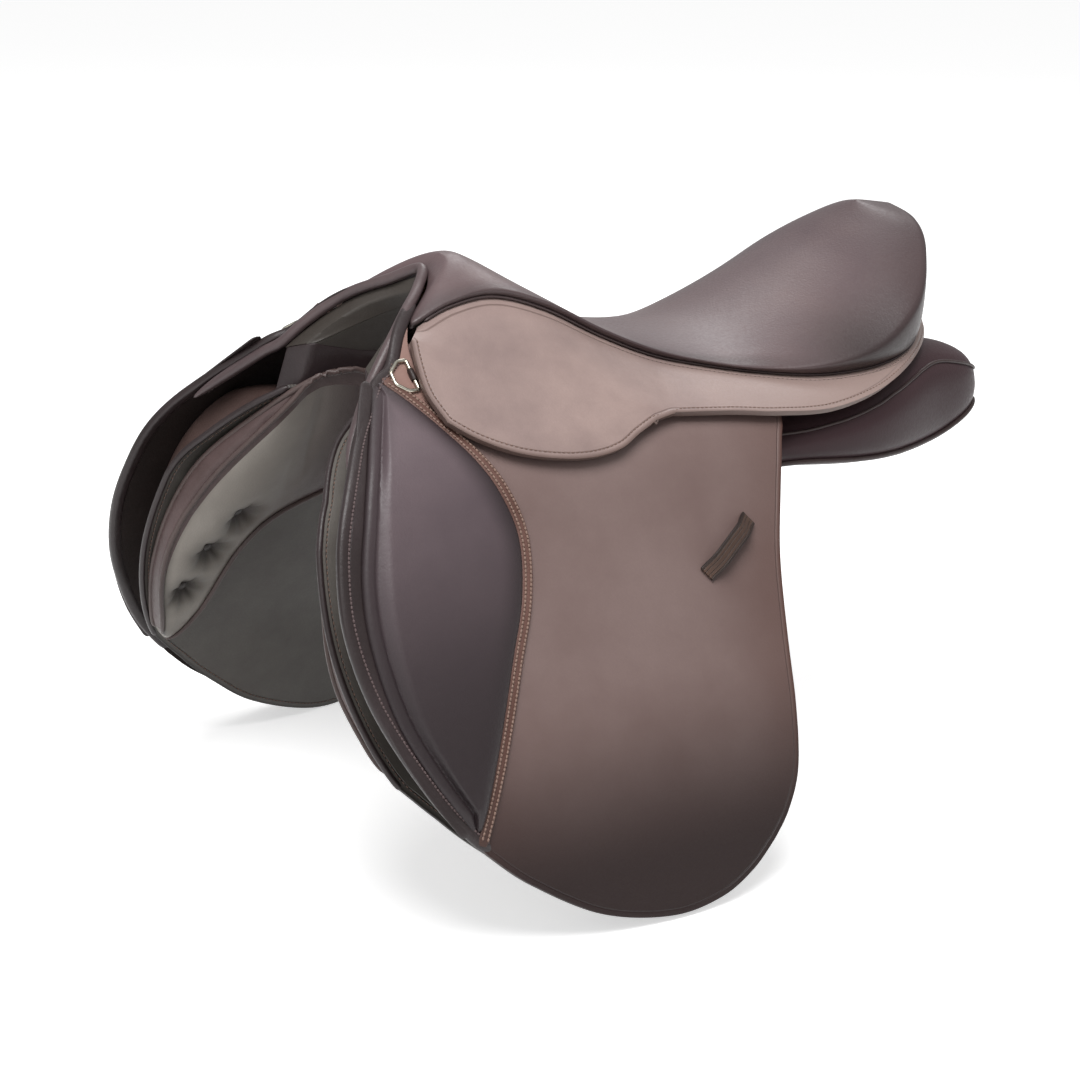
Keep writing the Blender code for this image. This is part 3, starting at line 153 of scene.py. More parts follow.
# Each billet's middle along x and its depth below the flap's outer face
BILLETS = (("front", -0.115, 0.0080), ("middle", -0.081, 0.0133), ("rear", -0.047, 0.0080))
BILLET_TOP_S, BILLET_END_S, BILLET_WIDTH, BILLET_THICK = 0.172, 0.400, 0.025, 0.0035
POINT_START, POINT_SHARE, POINT_NARROWING = 0.94, 0.06, 0.55
HOLE_PITCH, HOLE_COUNT, HOLE_HALF_LENGTH, HOLE_HALF_WIDTH = 0.022, 7, 0.0032, 0.0022
FIRST_HOLE_UP, PUNCH_DEPTH = 0.026, 0.012
STRAP_STITCH_INSET, STRAP_STITCH_START, STRAP_STITCH_STEP = 0.0032, 0.004, 0.0042
EDGE_ROUNDING, SHARP_ANGLE, BURNISH = 0.4, 60, (0.0006, 0.0030)
MERGE = 0.00002


def side_section(s):
    """Half breadth, height and lean in radians of the side surface at s."""
    breadth, height = SIDE_TOP
    left = s
    for start, end, length in SIDE_BENDS:
        run = left if s < 0 or left < length else length
        a = radians(start)
        turn = radians(end - start) / length
        b = a + turn * run
        if abs(turn) < 1e-9:
            breadth += sin(a) * run
            height -= cos(a) * run
        else:
            breadth += (cos(a) - cos(b)) / turn
            height -= (sin(b) - sin(a)) / turn
        left -= run
        if left <= 0:
            break
    return breadth, height, b


def on_side(x, s, w):
    """Place on the left side of the saddle."""
    breadth, height, lean = side_section(s)
    return Vector((x, -(breadth + w * cos(lean)), height + w * sin(lean)))


def side_out(s):
    """Direction that points out of the left side at s."""
    lean = side_section(s)[2]
    return Vector((0.0, -cos(lean), sin(lean)))


def side_frame(x, s, w):
    """Matrix of a place on the left side, with its y axis down the surface and its z axis out of it."""
    out = side_out(s)
    down = Vector((1, 0, 0)).cross(out)
    turn = Matrix(((1, 0, 0), tuple(down), tuple(out))).transposed().to_4x4()
    turn.translation = on_side(x, s, w)
    return turn


def lay(flat, w):
    """Flat places of x and s laid on the left side."""
    return [on_side(p.x, p.y, w) for p in flat]


def spline(points, t):
    """Point of a smooth curve that passes through all points, for t from 0 to 1 over equal spans."""
    last = len(points) - 1
    place = min(max(t, 0.0), 1.0) * last
    span = min(int(place), last - 1)
    f = place - span
    p0, p1 = Vector(points[max(span - 1, 0)]), Vector(points[span])
    p2, p3 = Vector(points[span + 1]), Vector(points[min(span + 2, last)])
    return 0.5 * (2 * p1 + (p2 - p0) * f + (2 * p0 - 5 * p1 + 4 * p2 - p3) * f * f
                  + (3 * p1 - p0 - 3 * p2 + p3) * f * f * f)


def even_curve(points, fine=24):
    """A function of 0 to 1 that walks the smooth curve through the points at an even pace."""
    points = [tuple(p) if len(p) == 3 else (*p, 0.0) for p in points]
    count = fine * (len(points) - 1)
    places = [spline(points, i / count) for i in range(count + 1)]
    run = np.concatenate([[0.0], np.cumsum([(b - a).length for a, b in zip(places, places[1:])])])

    def walk(t):
        target = min(max(t, 0.0), 1.0) * run[-1]
        i = min(max(int(np.searchsorted(run, target)) - 1, 0), count - 1)
        step = run[i + 1] - run[i]
        return places[i].lerp(places[i + 1], (target - run[i]) / step if step else 0.0)

    return walk


def walked(points, steps, fine=24):
    """Places at an even pace along the smooth curve through the points."""
    walk = even_curve(points, fine)
    return [walk(i / steps) for i in range(steps + 1)]


def smooth_step(f):
    """Rises smoothly from 0 to 1 as f does, and stays level beyond."""
    f = min(max(f, 0.0), 1.0)
    return f * f * (3 - 2 * f)


@contextmanager
def editing(mesh):
    """A bmesh of a mesh, which is written back to it at the end."""
    work = bmesh.new()
    work.from_mesh(mesh)
    yield work
    work.to_mesh(mesh)
    work.free()


def put_in_scene(name, data):
    """A new object of the scene with this mesh, curve, lamp or lens."""
    obj = bpy.data.objects.new(name, data)
    bpy.context.scene.collection.objects.link(obj)
    return obj


def smooth_faces(mesh, sharp=0):
    """Shade a mesh smooth, with sharp edges from an angle in degrees if one is given."""
    mesh.shade_smooth()
    if sharp:
        mesh.set_sharp_from_angle(angle=radians(sharp))


def new_piece(name, mesh, material, sharp=0):
    """A smooth piece of one material."""
    mesh.materials.clear()
    mesh.materials.append(material)
    smooth_faces(mesh, sharp)
    return put_in_scene(name, mesh)


def settle(obj):
    """Apply the modifiers of a piece, so that it is a plain mesh."""
    bpy.context.view_layer.update()
    mesh = bpy.data.meshes.new_from_object(obj.evaluated_get(bpy.context.evaluated_depsgraph_get()))
    obj.modifiers.clear()
    old, obj.data = obj.data, mesh
    mesh.name = old.name
    bpy.data.meshes.remove(old)
    return obj


def cut_away(obj, shape):
    """Cut a closed mesh out of a piece."""
    tool = put_in_scene(shape.name, shape)
    cut = obj.modifiers.new("cut", 'BOOLEAN')
    cut.object = tool
    cut.solver = 'EXACT'
    settle(obj)
    bpy.data.objects.remove(tool)


def assign(obj, nodes=(), body="saddle", fold=None):
    """Attach a piece to the empty of the body it rides on, or bake its place in where a fold line is given,
    and hide the solids that it stands for.
    """
    if fold:
        tuple(fold[0])
        tuple(fold[1])
        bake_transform(obj)
    else:
        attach(obj, body)
    if nodes:
        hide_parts(*nodes)


def on_both(piece, nodes=(), body=None, fold=None):
    """Assign a left piece and its mirrored twin, each with the names of its own side."""
    mesh = piece.data.copy()
    mesh.transform(Matrix.Scale(-1, 4, (0, 1, 0)))
    mesh.flip_normals()
    twin = put_in_scene(piece.name.replace("left", "right"), mesh)
    for obj, (side, flip) in zip((piece, twin), SIDES):
        assign(obj, [node + side for node in nodes], body + side if body else "saddle",
               fold and [place * Vector((1, flip, 1)) for place in fold])


def grid_mesh(name, place, columns, rows, around=False):
    """Grid of quads over u and v, each from 0 to 1, which closes round u if it goes around."""
    count = columns if around else columns + 1
    points = [place(c / columns, r / rows) for r in range(rows + 1) for c in range(count)]
    faces = []
    for r in range(rows):
        for c in range(columns):
            a, b = r * count + c, r * count + (c + 1) % count
            faces.append((a, a + count, b + count, b))
    mesh = bpy.data.meshes.new(name)
    mesh.from_pydata([tuple(p) for p in points], [], faces)
    mesh.update()
    return mesh


def mark_rim(mesh, edge_points):
    """Store each corner's distance from lines in the map 'rim': the first entry's in u, the next in v.

    An entry is one line of places or a list of lines.
    """
    places = np.array([v.co for v in mesh.vertices])
    layer = mesh.uv_layers.new(name="rim")
    found = np.zeros((len(places), 2))
    for column, lines in enumerate(edge_points):
        best = np.full(len(places), 1e9)
        for line in (lines if isinstance(lines[0], list) else [lines]):
            line = np.array([tuple(p) for p in line])
            for start, run in zip(line[:-1], line[1:] - line[:-1]):
                size = float(run @ run)
                if size < 1e-14:
                    continue
                f = np.clip((places - start) @ run / size, 0, 1)
                best = np.minimum(best, np.linalg.norm(places - start - f[:, None] * run, axis=1))
        found[:, column] = best
    corners = np.array([loop.vertex_index for loop in mesh.loops])
    layer.data.foreach_set("uv", found[corners].astype(np.float32).ravel())


def thicken(obj, thickness, offset=0.0):
    """Give a sheet its thickness, in the middle of its surface or to one side of it."""
    solid = obj.modifiers.new("thickness", 'SOLIDIFY')
    solid.thickness = thickness
    solid.offset = offset


def leather_sheet(name, mesh, thickness, material):
    """Closed sheet of leather with rounded cut edges from its middle surface."""
    obj = new_piece(name, mesh, material)
    thicken(obj, thickness)
    bevel = obj.modifiers.new("rounded edge", 'BEVEL')
    bevel.width = thickness * EDGE_ROUNDING
    bevel.segments = 3
    bevel.angle_limit = radians(55)
    settle(obj)
    smooth_faces(obj.data, SHARP_ANGLE)
    return obj


def saddle_leather(name, face, deep, roughness, edge=None, grain_mm=1.6, grooves_and_shade=(), mottle=0.07,
                   spec=0.36, grain_height=0.00010, painted_shade=None):
    """Dyed and waxed cowhide: soft clouds of colour, fine pebbled grain, and darker burnished edges.

    With an edge colour, the map 'rim' gives the burnished edge, and the creased lines and the bands of
    painted shade, each as its channel, its distance from the lines, its width and how dark it is. The painted
    shade is an axis, the places where a slow change of colour starts and ends along it, and the shaded colour
    that it reaches.
    """
    material, tree, shader, spot = new_finish(name)
    clouds = add_node(tree, "ShaderNodeTexNoise",
                      {"Vector": spot, "Scale": 1.0 / mottle, "Detail": 5.0, "Roughness": 0.6})
    spread = add_node(tree, "ShaderNodeMapRange", {0: clouds.outputs[0], 1: 0.33, 2: 0.67}, clamp=True)
    colour = add_node(tree, "ShaderNodeMix", {0: spread.outputs[0], 6: linear(deep), 7: linear(face)},
                      data_type='RGBA').outputs[2]
    # Grain this fine would not show, so its cells are drawn about three times as wide as the real pores
    cells = add_node(tree, "ShaderNodeTexVoronoi", feature='SMOOTH_F1',
                     inputs={"Vector": spot, "Scale": 1000.0 / grain_mm, "Smoothness": 0.5})
    fine = add_node(tree, "ShaderNodeTexNoise", {"Vector": spot, "Scale": 420.0, "Detail": 3.0})
    speck = add_node(tree, "ShaderNodeMapRange", {0: cells.outputs[0], 1: 0.1, 2: 0.75, 3: 0.0, 4: 0.16})
    colour = add_node(tree, "ShaderNodeMix", {0: speck.outputs[0], 6: colour, 7: linear(deep)},
                      data_type='RGBA').outputs[2]
    bump = add_node(tree, "ShaderNodeBump",
                    {"Height": cells.outputs[0], "Distance": grain_height, "Strength": 0.7})
    bump = add_node(tree, "ShaderNodeBump", {"Height": fine.outputs[0], "Distance": 0.0003,
                                             "Strength": 0.35, "Normal": bump.outputs[0]})
    gloss = add_node(tree, "ShaderNodeMapRange",
                     {0: fine.outputs[0], 1: 0.3, 2: 0.7, 3: roughness - 0.05, 4: roughness + 0.07})
    if edge:
        layer = add_node(tree, "ShaderNodeUVMap", uv_map="rim")
        split = add_node(tree, "ShaderNodeSeparateXYZ", {0: layer.outputs[0]})
        burnt = add_node(tree, "ShaderNodeMapRange",
                         {0: split.outputs[0], 1: BURNISH[0], 2: BURNISH[1], 3: 1.0, 4: 0.0}, clamp=True)
        colour = add_node(tree, "ShaderNodeMix", {0: burnt.outputs[0], 6: colour, 7: linear(edge)},
                          data_type='RGBA').outputs[2]
        # Narrow entries are creased lines; wide ones are painted shade beside seams, welts, tufts and edges
        for channel, depth_in, width, dark in grooves_and_shade:
            away = add_node(tree, "ShaderNodeMath", {0: split.outputs[channel], 1: depth_in},
                            operation='SUBTRACT')
            away = add_node(tree, "ShaderNodeMath", {0: away.outputs[0]}, operation='ABSOLUTE')
            line = add_node(tree, "ShaderNodeMapRange", interpolation_type='SMOOTHSTEP', clamp=True,
                            inputs={0: away.outputs[0], 1: 0.0, 2: width, 3: 1.0, 4: 0.0})
            shade = add_node(tree, "ShaderNodeMath", {0: line.outputs[0], 1: dark}, operation='MULTIPLY')
            colour = add_node(tree, "ShaderNodeMix", {0: shade.outputs[0], 6: colour, 7: linear(edge)},
                              data_type='RGBA').outputs[2]
            bump = add_node(tree, "ShaderNodeBump", {"Height": line.outputs[0], "Distance": 0.0007,
                                                     "Strength": 0.8, "Normal": bump.outputs[0]}, invert=True)
    # Painted shade: the colour turns slowly to a darker one along one axis, standing for light falling across
    # the piece
    if painted_shade:
        axis, start, end, code = painted_shade
        along = add_node(tree, "ShaderNodeSeparateXYZ", {0: spot}).outputs[axis]
        share = add_node(tree, "ShaderNodeMapRange", {0: along, 1: start, 2: end}, clamp=True,
                         interpolation_type='SMOOTHSTEP')
        colour = add_node(tree, "ShaderNodeMix", {0: share.outputs[0], 6: colour, 7: linear(code)},
                          data_type='RGBA').outputs[2]
    set_inputs(tree, shader, {"Base Color": colour, "Roughness": gloss.outputs[0],
                              "Normal": bump.outputs[0], "Specular IOR Level": spec})
    return material


def waxed_thread(name, code):
    """Waxed linen thread: two plies whose twist gives a fine slanted ribbing."""
    material, tree, shader, spot = new_finish(name)
    twist = add_node(tree, "ShaderNodeTexNoise", {"Vector": spot, "Scale": 1400.0, "Detail": 2.0})
    tint = add_node(tree, "ShaderNodeHueSaturation", {"Color": linear(code), "Value": twist.outputs[0]})
    lift = add_node(tree, "ShaderNodeMix", {0: 0.75, 6: tint.outputs[0], 7: linear(code)}, data_type='RGBA')
    bump = add_node(tree, "ShaderNodeBump", {"Height": twist.outputs[0], "Distance": 0.0002})
    set_inputs(tree, shader, {"Base Color": lift.outputs[2], "Normal": bump.outputs[0], "Roughness": 0.6})
    return material


def stitching_tree():
    """Row of stitches along a path: pitch, length and width are inputs, and so is the thread."""
    tree = bpy.data.node_groups.new("stitch_row", 'GeometryNodeTree')
    for label, kind in (("Geometry", "Geometry"), ("Pitch", "Float"), ("Length", "Float"),
                        ("Width", "Float"), ("Thread", "Material")):
        tree.interface.new_socket(label, in_out='INPUT', socket_type="NodeSocket" + kind)
    tree.interface.new_socket("Geometry", in_out='OUTPUT', socket_type='NodeSocketGeometry')
    given = add_node(tree, "NodeGroupInput").outputs
    curve = add_node(tree, "GeometryNodeMeshToCurve", {0: given["Geometry"]})
    even = add_node(tree, "GeometryNodeResampleCurve", {"Curve": curve.outputs[0], "Length": given["Pitch"]},
                    mode='LENGTH')
    tangent = add_node(tree, "GeometryNodeInputTangent")
    turn = add_node(tree, "FunctionNodeAlignRotationToVector", {"Vector": tangent.outputs[0]}, axis='X')
    size = add_node(tree, "ShaderNodeCombineXYZ", {0: given["Length"], 1: given["Width"], 2: given["Width"]})
    bead = add_node(tree, "GeometryNodeMeshUVSphere", {"Radius": 0.5, "Segments": 6, "Rings": 5})
    placed = add_node(tree, "GeometryNodeInstanceOnPoints",
                      {"Points": even.outputs[0], "Instance": bead.outputs[0], "Rotation": turn.outputs[0],
                       "Scale": size.outputs[0]})
    real = add_node(tree, "GeometryNodeRealizeInstances", {0: placed.outputs[0]})
    smooth = add_node(tree, "GeometryNodeSetShadeSmooth", {0: real.outputs[0]})
    thread = add_node(tree, "GeometryNodeSetMaterial",
                      {"Geometry": smooth.outputs[0], "Material": given["Thread"]})
    add_node(tree, "NodeGroupOutput", {0: thread.outputs[0]})
    return tree


STITCH_TREE = stitching_tree()


def stitch_rows(name, paths, thread, pitch, length, width):
    """Rows of stitches along lists of places, as one plain mesh."""
    mesh = bpy.data.meshes.new(name)
    verts, edges = [], []
    for path in paths:
        first = len(verts)
        verts += [tuple(p) for p in path]
        edges += [(first + i, first + i + 1) for i in range(len(path) - 1)]
    mesh.from_pydata(verts, edges, [])
    obj = put_in_scene(name, mesh)
    rows = obj.modifiers.new("stitches", 'NODES')
    rows.node_group = STITCH_TREE
    values = {"Pitch": pitch, "Length": length, "Width": width, "Thread": thread}
    for item in STITCH_TREE.interface.items_tree:
        if item.in_out == 'INPUT' and item.name in values:
            rows[item.identifier] = values[item.name]
    return settle(obj)


def cotton_web():
    """Herringbone cotton webbing: warp ridges 1.2 mm apart in unbleached yarn."""
    material, tree, shader, spot = new_finish("unbleached_cotton_web")
    turned = add_node(tree, "ShaderNodeMapping", {"Vector": spot, "Rotation": (0, 0, radians(45))})
    warp = add_node(tree, "ShaderNodeTexWave",
                    {"Vector": turned.outputs[0], "Scale": 260.0, "Distortion": 1.0})
    tint = add_node(tree, "ShaderNodeMix", {0: warp.outputs[1], 6: linear("#8f836a"), 7: linear("#cdbf9f")},
                    data_type='RGBA')
    bump = add_node(tree, "ShaderNodeBump", {"Height": warp.outputs[1], "Distance": 0.0004})
    set_inputs(tree, shader, {"Base Color": tint.outputs[2], "Normal": bump.outputs[0], "Roughness": 0.85})
    return material


brown_thread = waxed_thread("brown_waxed_thread", "#7d6357")
dark_thread = waxed_thread("dark_waxed_thread", "#3a2e2b")
strap_leather = saddle_leather("bridle_leather_straps", "#5f4a43", "#463430", 0.42, "#2c201d",
                               grooves_and_shade=((0, 0.0032, 0.0008, 0.5),))
web_finish = cotton_web()


def make_billet(label, x, depth):
    """One strap on each side, with its holes and its stitched border."""
    half, w, rows = BILLET_WIDTH / 2, -depth - BILLET_THICK / 2, 90

    def place(u, v):
        s = BILLET_TOP_S + (BILLET_END_S - BILLET_TOP_S) * v
        narrow = 1 - POINT_NARROWING * smooth_step((v - POINT_START) / POINT_SHARE)
        return on_side(x + half * (2 * u - 1) * narrow, s, w)

    name = "billet_strap_%s_left" % label
    mesh = grid_mesh(name, place, 8, rows)
    outline = [place(0, i / rows) for i in range(rows + 1)]
    outline += [place(1, i / rows) for i in range(rows, -1, -1)]
    mark_rim(mesh, [outline + outline[:1]])
    strap = leather_sheet(name, mesh, BILLET_THICK, strap_leather)
    punches = bpy.data.meshes.new("punches")
    with editing(punches) as work:
        for i in range(HOLE_COUNT):
            there = side_frame(x, BILLET_END_S - FIRST_HOLE_UP - HOLE_PITCH * i, w)
            size = Matrix.Diagonal((HOLE_HALF_WIDTH, HOLE_HALF_LENGTH, 1, 1))
            bmesh.ops.create_cone(work, cap_ends=True, segments=18, radius1=1, radius2=1, depth=PUNCH_DEPTH,
                                  matrix=there @ size)
    cut_away(strap, punches)
    border = [[on_side(x + sign * (half - STRAP_STITCH_INSET),
                       BILLET_TOP_S + STRAP_STITCH_START + STRAP_STITCH_STEP * i, w + BILLET_THICK / 2)
               for i in range(50)] for sign in (-1, 1)]
    seam = stitch_rows("billet_stitches_%s_left" % label, border, brown_thread, 0.0038, 0.0026, 0.0008)
    on_both(strap, ["billet_" + label], "billet_" + label)
    on_both(seam, body="billet_" + label)


for billet in BILLETS:
    make_billet(*billet)
for side, _ in SIDES:
    dress("girth_web" + side, web_finish)

# The seat: one hide blocked wet over dense foam on the tree, with a deep waist and a high cantle.
# The foam is a soft sheet under it; both run from the rim over the top to the other rim.

# Each station holds a place of the seam, a place of the rim over it, and the x of its spine
SEAT_STATIONS = (
    ((-0.1740, 0.0000, 0.1680), (-0.1745, 0.0000, 0.1755), -0.1640),
    ((-0.1880, 0.0220, 0.1590), (-0.1885, 0.0225, 0.1660), -0.1630),
    ((-0.2180, 0.0490, 0.1465), (-0.2172, 0.0495, 0.1505), -0.1600),
    ((-0.1850, 0.0470, 0.1580), (-0.1850, 0.0490, 0.1617), -0.1500),
    ((-0.1480, 0.0470, 0.1610), (-0.1480, 0.0493, 0.1658), -0.1350),
    ((-0.1100, 0.0550, 0.1490), (-0.1100, 0.0585, 0.1542), -0.1050),
    ((-0.0670, 0.0630, 0.1255), (-0.0670, 0.0673, 0.1304), -0.0670),
    ((-0.0260, 0.0700, 0.1070), (-0.0260, 0.0746, 0.1114), -0.0260),
    ((0.0140, 0.0790, 0.0960), (0.0140, 0.0840, 0.0990), 0.0140),
    ((0.0540, 0.0900, 0.0880), (0.0535, 0.0963, 0.0913), 0.0540),
    ((0.1000, 0.1060, 0.0830), (0.0985, 0.1135, 0.0910), 0.1000),
    ((0.1500, 0.1110, 0.0840), (0.1480, 0.1203, 0.1008), 0.1480),
    ((0.1910, 0.1000, 0.0910), (0.1922, 0.1090, 0.1268), 0.1790),
    ((0.2230, 0.0680, 0.1040), (0.2260, 0.0750, 0.1554), 0.2000),
    ((0.2390, 0.0340, 0.1120), (0.2440, 0.0410, 0.1725), 0.2110),
    ((0.2440, 0.0000, 0.1150), (0.2505, 0.0000, 0.1785), 0.2150),
)
SEAT_SPINE = ((-0.165, 0.1850), (-0.150, 0.1837), (-0.110, 0.1600), (-0.062, 0.1295), (-0.020, 0.1118),
              (0.020, 0.1075), (0.060, 0.1110), (0.110, 0.1278), (0.160, 0.1512), (0.195, 0.1722),
              (0.215, 0.1849))
SEAT_CROWN_POWER, WALL_SHARE, COVER_THICK = 2.2, 0.25, 0.0024
REAR_SHADE_START = 0.72


def height_along(points, x):
    """Smooth height over x through points of (x, height)."""
    i = 0
    while i < len(points) - 2 and points[i + 1][0] < x:
        i += 1

    def slope(k):
        lo, hi = max(k - 1, 0), min(k + 1, len(points) - 1)
        return (points[hi][1] - points[lo][1]) / (points[hi][0] - points[lo][0])

    (x0, z0), (x1, z1) = points[i], points[i + 1]
    span = x1 - x0
    f = min(max((x - x0) / span, 0.0), 1.0)
    return ((2 * f ** 3 - 3 * f ** 2 + 1) * z0 + (f ** 3 - 2 * f ** 2 + f) * span * slope(i)
            + (3 * f ** 2 - 2 * f ** 3) * z1 + (f ** 3 - f ** 2) * span * slope(i + 1))


def seat_place(t, v):
    """Place on the left half of the seat, v from the seam up the wall and over the top to the spine."""
    seam = spline([station[0] for station in SEAT_STATIONS], t)
    rim = spline([station[1] for station in SEAT_STATIONS], t)
    if v < WALL_SHARE:
        a = v / WALL_SHARE * pi / 2
        flat = seam.lerp(rim, sin(a))
        return Vector((flat.x, -flat.y, seam.z + (rim.z - seam.z) * (1 - cos(a))))
    x = spline([(station[2], 0.0, 0.0) for station in SEAT_STATIONS], t).x
    crest = height_along(SEAT_SPINE, x)
    q = 1 - (v - WALL_SHARE) / (1 - WALL_SHARE)
    z = crest - (crest - rim.z) * q ** SEAT_CROWN_POWER
    return Vector((x + (rim.x - x) * q * q, -rim.y * q, z))


def half_grid(name, place, columns, rows):
    """Grid of a left half, whose inner edge lies exactly on the centre line."""
    mesh = grid_mesh(name, place, columns, rows)
    for vertex in mesh.vertices:
        if abs(vertex.co.y) < 1e-6:
            vertex.co.y = 0.0
    return mesh


def close_halves(obj):
    """Mirror the left half to the right and weld it at the centre line."""
    mirror = obj.modifiers.new("other half", 'MIRROR')
    mirror.use_axis = (False, True, False)
    mirror.merge_threshold = MERGE
    settle(obj)


def relax(work, verts, times):
    """Even out the places of some vertices."""
    for _ in range(times):
        bmesh.ops.smooth_vert(work, verts=verts, factor=0.5,
                              use_axis_x=True, use_axis_y=True, use_axis_z=True)


def make_seat():
    """The hide over the seat, with its folded rim."""
    columns = 150
    mesh = half_grid("seat_hide", seat_place, columns, 44)
    seam_line = [seat_place(i / columns, 0.0) for i in range(columns + 1)]
    # Painted shade: the seat darkens near its seam and over a wide band along the cantle's rear seam
    rear_shade_line = [seat_place(REAR_SHADE_START + 0.28 * i / 40, 0.0) for i in range(41)]
    mark_rim(mesh, [seam_line, rear_shade_line])
    with editing(mesh) as work:
        bmesh.ops.remove_doubles(work, verts=work.verts, dist=MERGE)
        bmesh.ops.recalc_face_normals(work, faces=work.faces)
    hide = new_piece("seat_hide", mesh, seat_finish)
    close_halves(hide)
    with editing(hide.data) as work:
        bmesh.ops.recalc_face_normals(work, faces=work.faces)
        top = max(work.faces, key=lambda face: face.calc_center_median().z)
        if top.normal.z < 0:
            bmesh.ops.reverse_faces(work, faces=work.faces)
        relax(work, [v for v in work.verts if not v.is_boundary], 2)
    thicken(hide, COVER_THICK, -1.0)
    settle(hide)
    smooth_faces(hide.data)
    assign(hide, ["seat_cover"])


def latex_foam():
    """Closed cell latex foam: cream skin with small open pores."""
    material, tree, shader, spot = new_finish("latex_foam")
    pores = add_node(tree, "ShaderNodeTexVoronoi", {"Vector": spot, "Scale": 600.0})
    tint = add_node(tree, "ShaderNodeMix", {0: pores.outputs[0], 6: linear("#9c9276"), 7: linear("#d8cfb2")},
                    data_type='RGBA')
    bump = add_node(tree, "ShaderNodeBump", {"Height": pores.outputs[0], "Distance": 0.0004})
    set_inputs(tree, shader, {"Base Color": tint.outputs[2], "Normal": bump.outputs[0], "Roughness": 0.9})
    return material


def subdivided(obj, levels):
    """Round a piece off by subdivision."""
    rounding = obj.modifiers.new("rounding", 'SUBSURF')
    rounding.levels = rounding.render_levels = levels
    settle(obj)


def softened(node_name, name, material, levels=1):
    """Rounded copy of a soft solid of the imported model."""
    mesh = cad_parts[node_name].data.copy()
    with editing(mesh) as work:
        bmesh.ops.remove_doubles(work, verts=work.verts, dist=MERGE)
        bmesh.ops.join_triangles(work, faces=work.faces, angle_face_threshold=radians(30),
                                 angle_shape_threshold=radians(60))
    obj = new_piece(name, mesh, material)
    subdivided(obj, levels)
    smooth_faces(obj.data)
    return obj


# Painted shade darkens the seat near its seam, along the cantle's rear seam and towards the rear of the
# cantle
seat_finish = saddle_leather("blocked_seat_hide", "#675555", "#57474a", 0.40, "#241a1a", mottle=0.14,
                             spec=0.5, grooves_and_shade=((0, 0.0, 0.0160, 0.55), (1, 0.0, 0.0780, 0.92)),
                             painted_shade=(0, 0.150, 0.290, "#3a2a2b"))
make_seat()
assign(softened("seat_foam", "seat_foam_sheet", latex_foam()), ["seat_foam"])

# The skirts: a flap of skirting leather on each side that hides the stirrup bar, run on behind as a band.
# Each is stitched along its free edge and seamed to the seat, with a thin piping laid in that seam.
SKIRT_LIFT, SKIRT_THICK, SKIRT_SEAM_GAP = 0.0055, 0.0040, 0.0022
FOLD_FRONT, FOLD_REAR = (-0.2275, 0.034), (-0.050, 0.1250)
LOBE_FRONT = ((-0.2275, 0.0340), (-0.2318, 0.0540), (-0.2342, 0.0780), (-0.2290, 0.103))
LOBE_BOTTOM = ((-0.2290, 0.103), (-0.211, 0.1205), (-0.186, 0.1345), (-0.156, 0.1430), (-0.128, 0.1460),
               (-0.104, 0.1430), (-0.086, 0.1350), (-0.067, 0.1275))
LOBE_REAR = ((-0.0500, 0.1250), (-0.0585, 0.1262), (-0.067, 0.1275))
BAND_LOW = ((-0.002, 0.139, 0.0745), (0.036, 0.1435, 0.0695), (0.085, 0.142, 0.065), (0.135, 0.133, 0.070),
            (0.178, 0.112, 0.079), (0.217, 0.082, 0.088), (0.246, 0.043, 0.093), (0.256, 0.0004, 0.094))
BAND_PUFF = 0.0022
SKIRT_START_T, NOTCH_U = 4 / 26, 8 / 22
SKIRT_STITCH_INSET, SEAM_FOLD, FOLD_REACH, FOLD_HALF = 0.0042, 0.0078, 0.016, 0.007
PIPING_START_T, PIPING_STEPS, PIPING_OUT = 0.165, 260, 0.0006
# How far stitches stand off the leather
THREAD_LIFT = 0.0001


def patch_between(top, bottom, front, rear):
    """Flat place for u from front to rear and v from top to bottom, inside four edge curves."""
    top, bottom, front, rear = (even_curve(edge) for edge in (top, bottom, front, rear))

    def place(u, v):
        corners = ((1 - u) * (1 - v) * top(0) + u * (1 - v) * top(1)
                   + (1 - u) * v * bottom(0) + u * v * bottom(1))
        return (1 - v) * top(u) + v * bottom(u) + (1 - u) * front(v) + u * rear(v) - corners

    return place


def laid(patch, w):
    """The patch's places laid on the left side."""
    return lambda u, v: lay([patch(u, v)], w)[0]


def inset_line(points, inset, inner, count=160):
    """Flat line at an inset from a smooth edge, on the side where the inner point lies."""
    walk = even_curve(points)
    line = []
    for i in range(count + 1):
        here = walk(i / count)
        run = (walk(min(i / count + 0.01, 1)) - walk(max(i / count - 0.01, 0))).normalized()
        across = Vector((-run.y, run.x, 0))
        if across.dot(Vector((*inner, 0)) - here) < 0:
            across = -across
        line.append(here + across * inset)
    return line


def skirt_top(u):
    """Middle of the skirt's leather along the seat's seam."""
    t = SKIRT_START_T + (1 - SKIRT_START_T) * u
    seam = seat_place(t, 0.0)
    ahead = seat_place(min(t + 0.01, 1.0), 0.0) - seat_place(max(t - 0.01, 0.0), 0.0)
    normal = ahead.cross(skirt_low(u) - seam).normalized()
    if normal.z < 0:
        normal = -normal
    return seam - normal * (SKIRT_THICK / 2 + SKIRT_SEAM_GAP)


band_edge = even_curve([on_side(*FOLD_REAR, SKIRT_LIFT + SKIRT_THICK / 2)]
                       + [(x, -y, z) for x, y, z in BAND_LOW])


def skirt_low(u):
    """Middle of the leather along the lobe's fold, and behind it along the band's lower edge."""
    if u <= NOTCH_U:
        f = u / NOTCH_U
        return on_side(FOLD_FRONT[0] + (FOLD_REAR[0] - FOLD_FRONT[0]) * f,
                       FOLD_FRONT[1] + (FOLD_REAR[1] - FOLD_FRONT[1]) * f, SKIRT_LIFT + SKIRT_THICK / 2)
    return band_edge((u - NOTCH_U) / (1 - NOTCH_U))


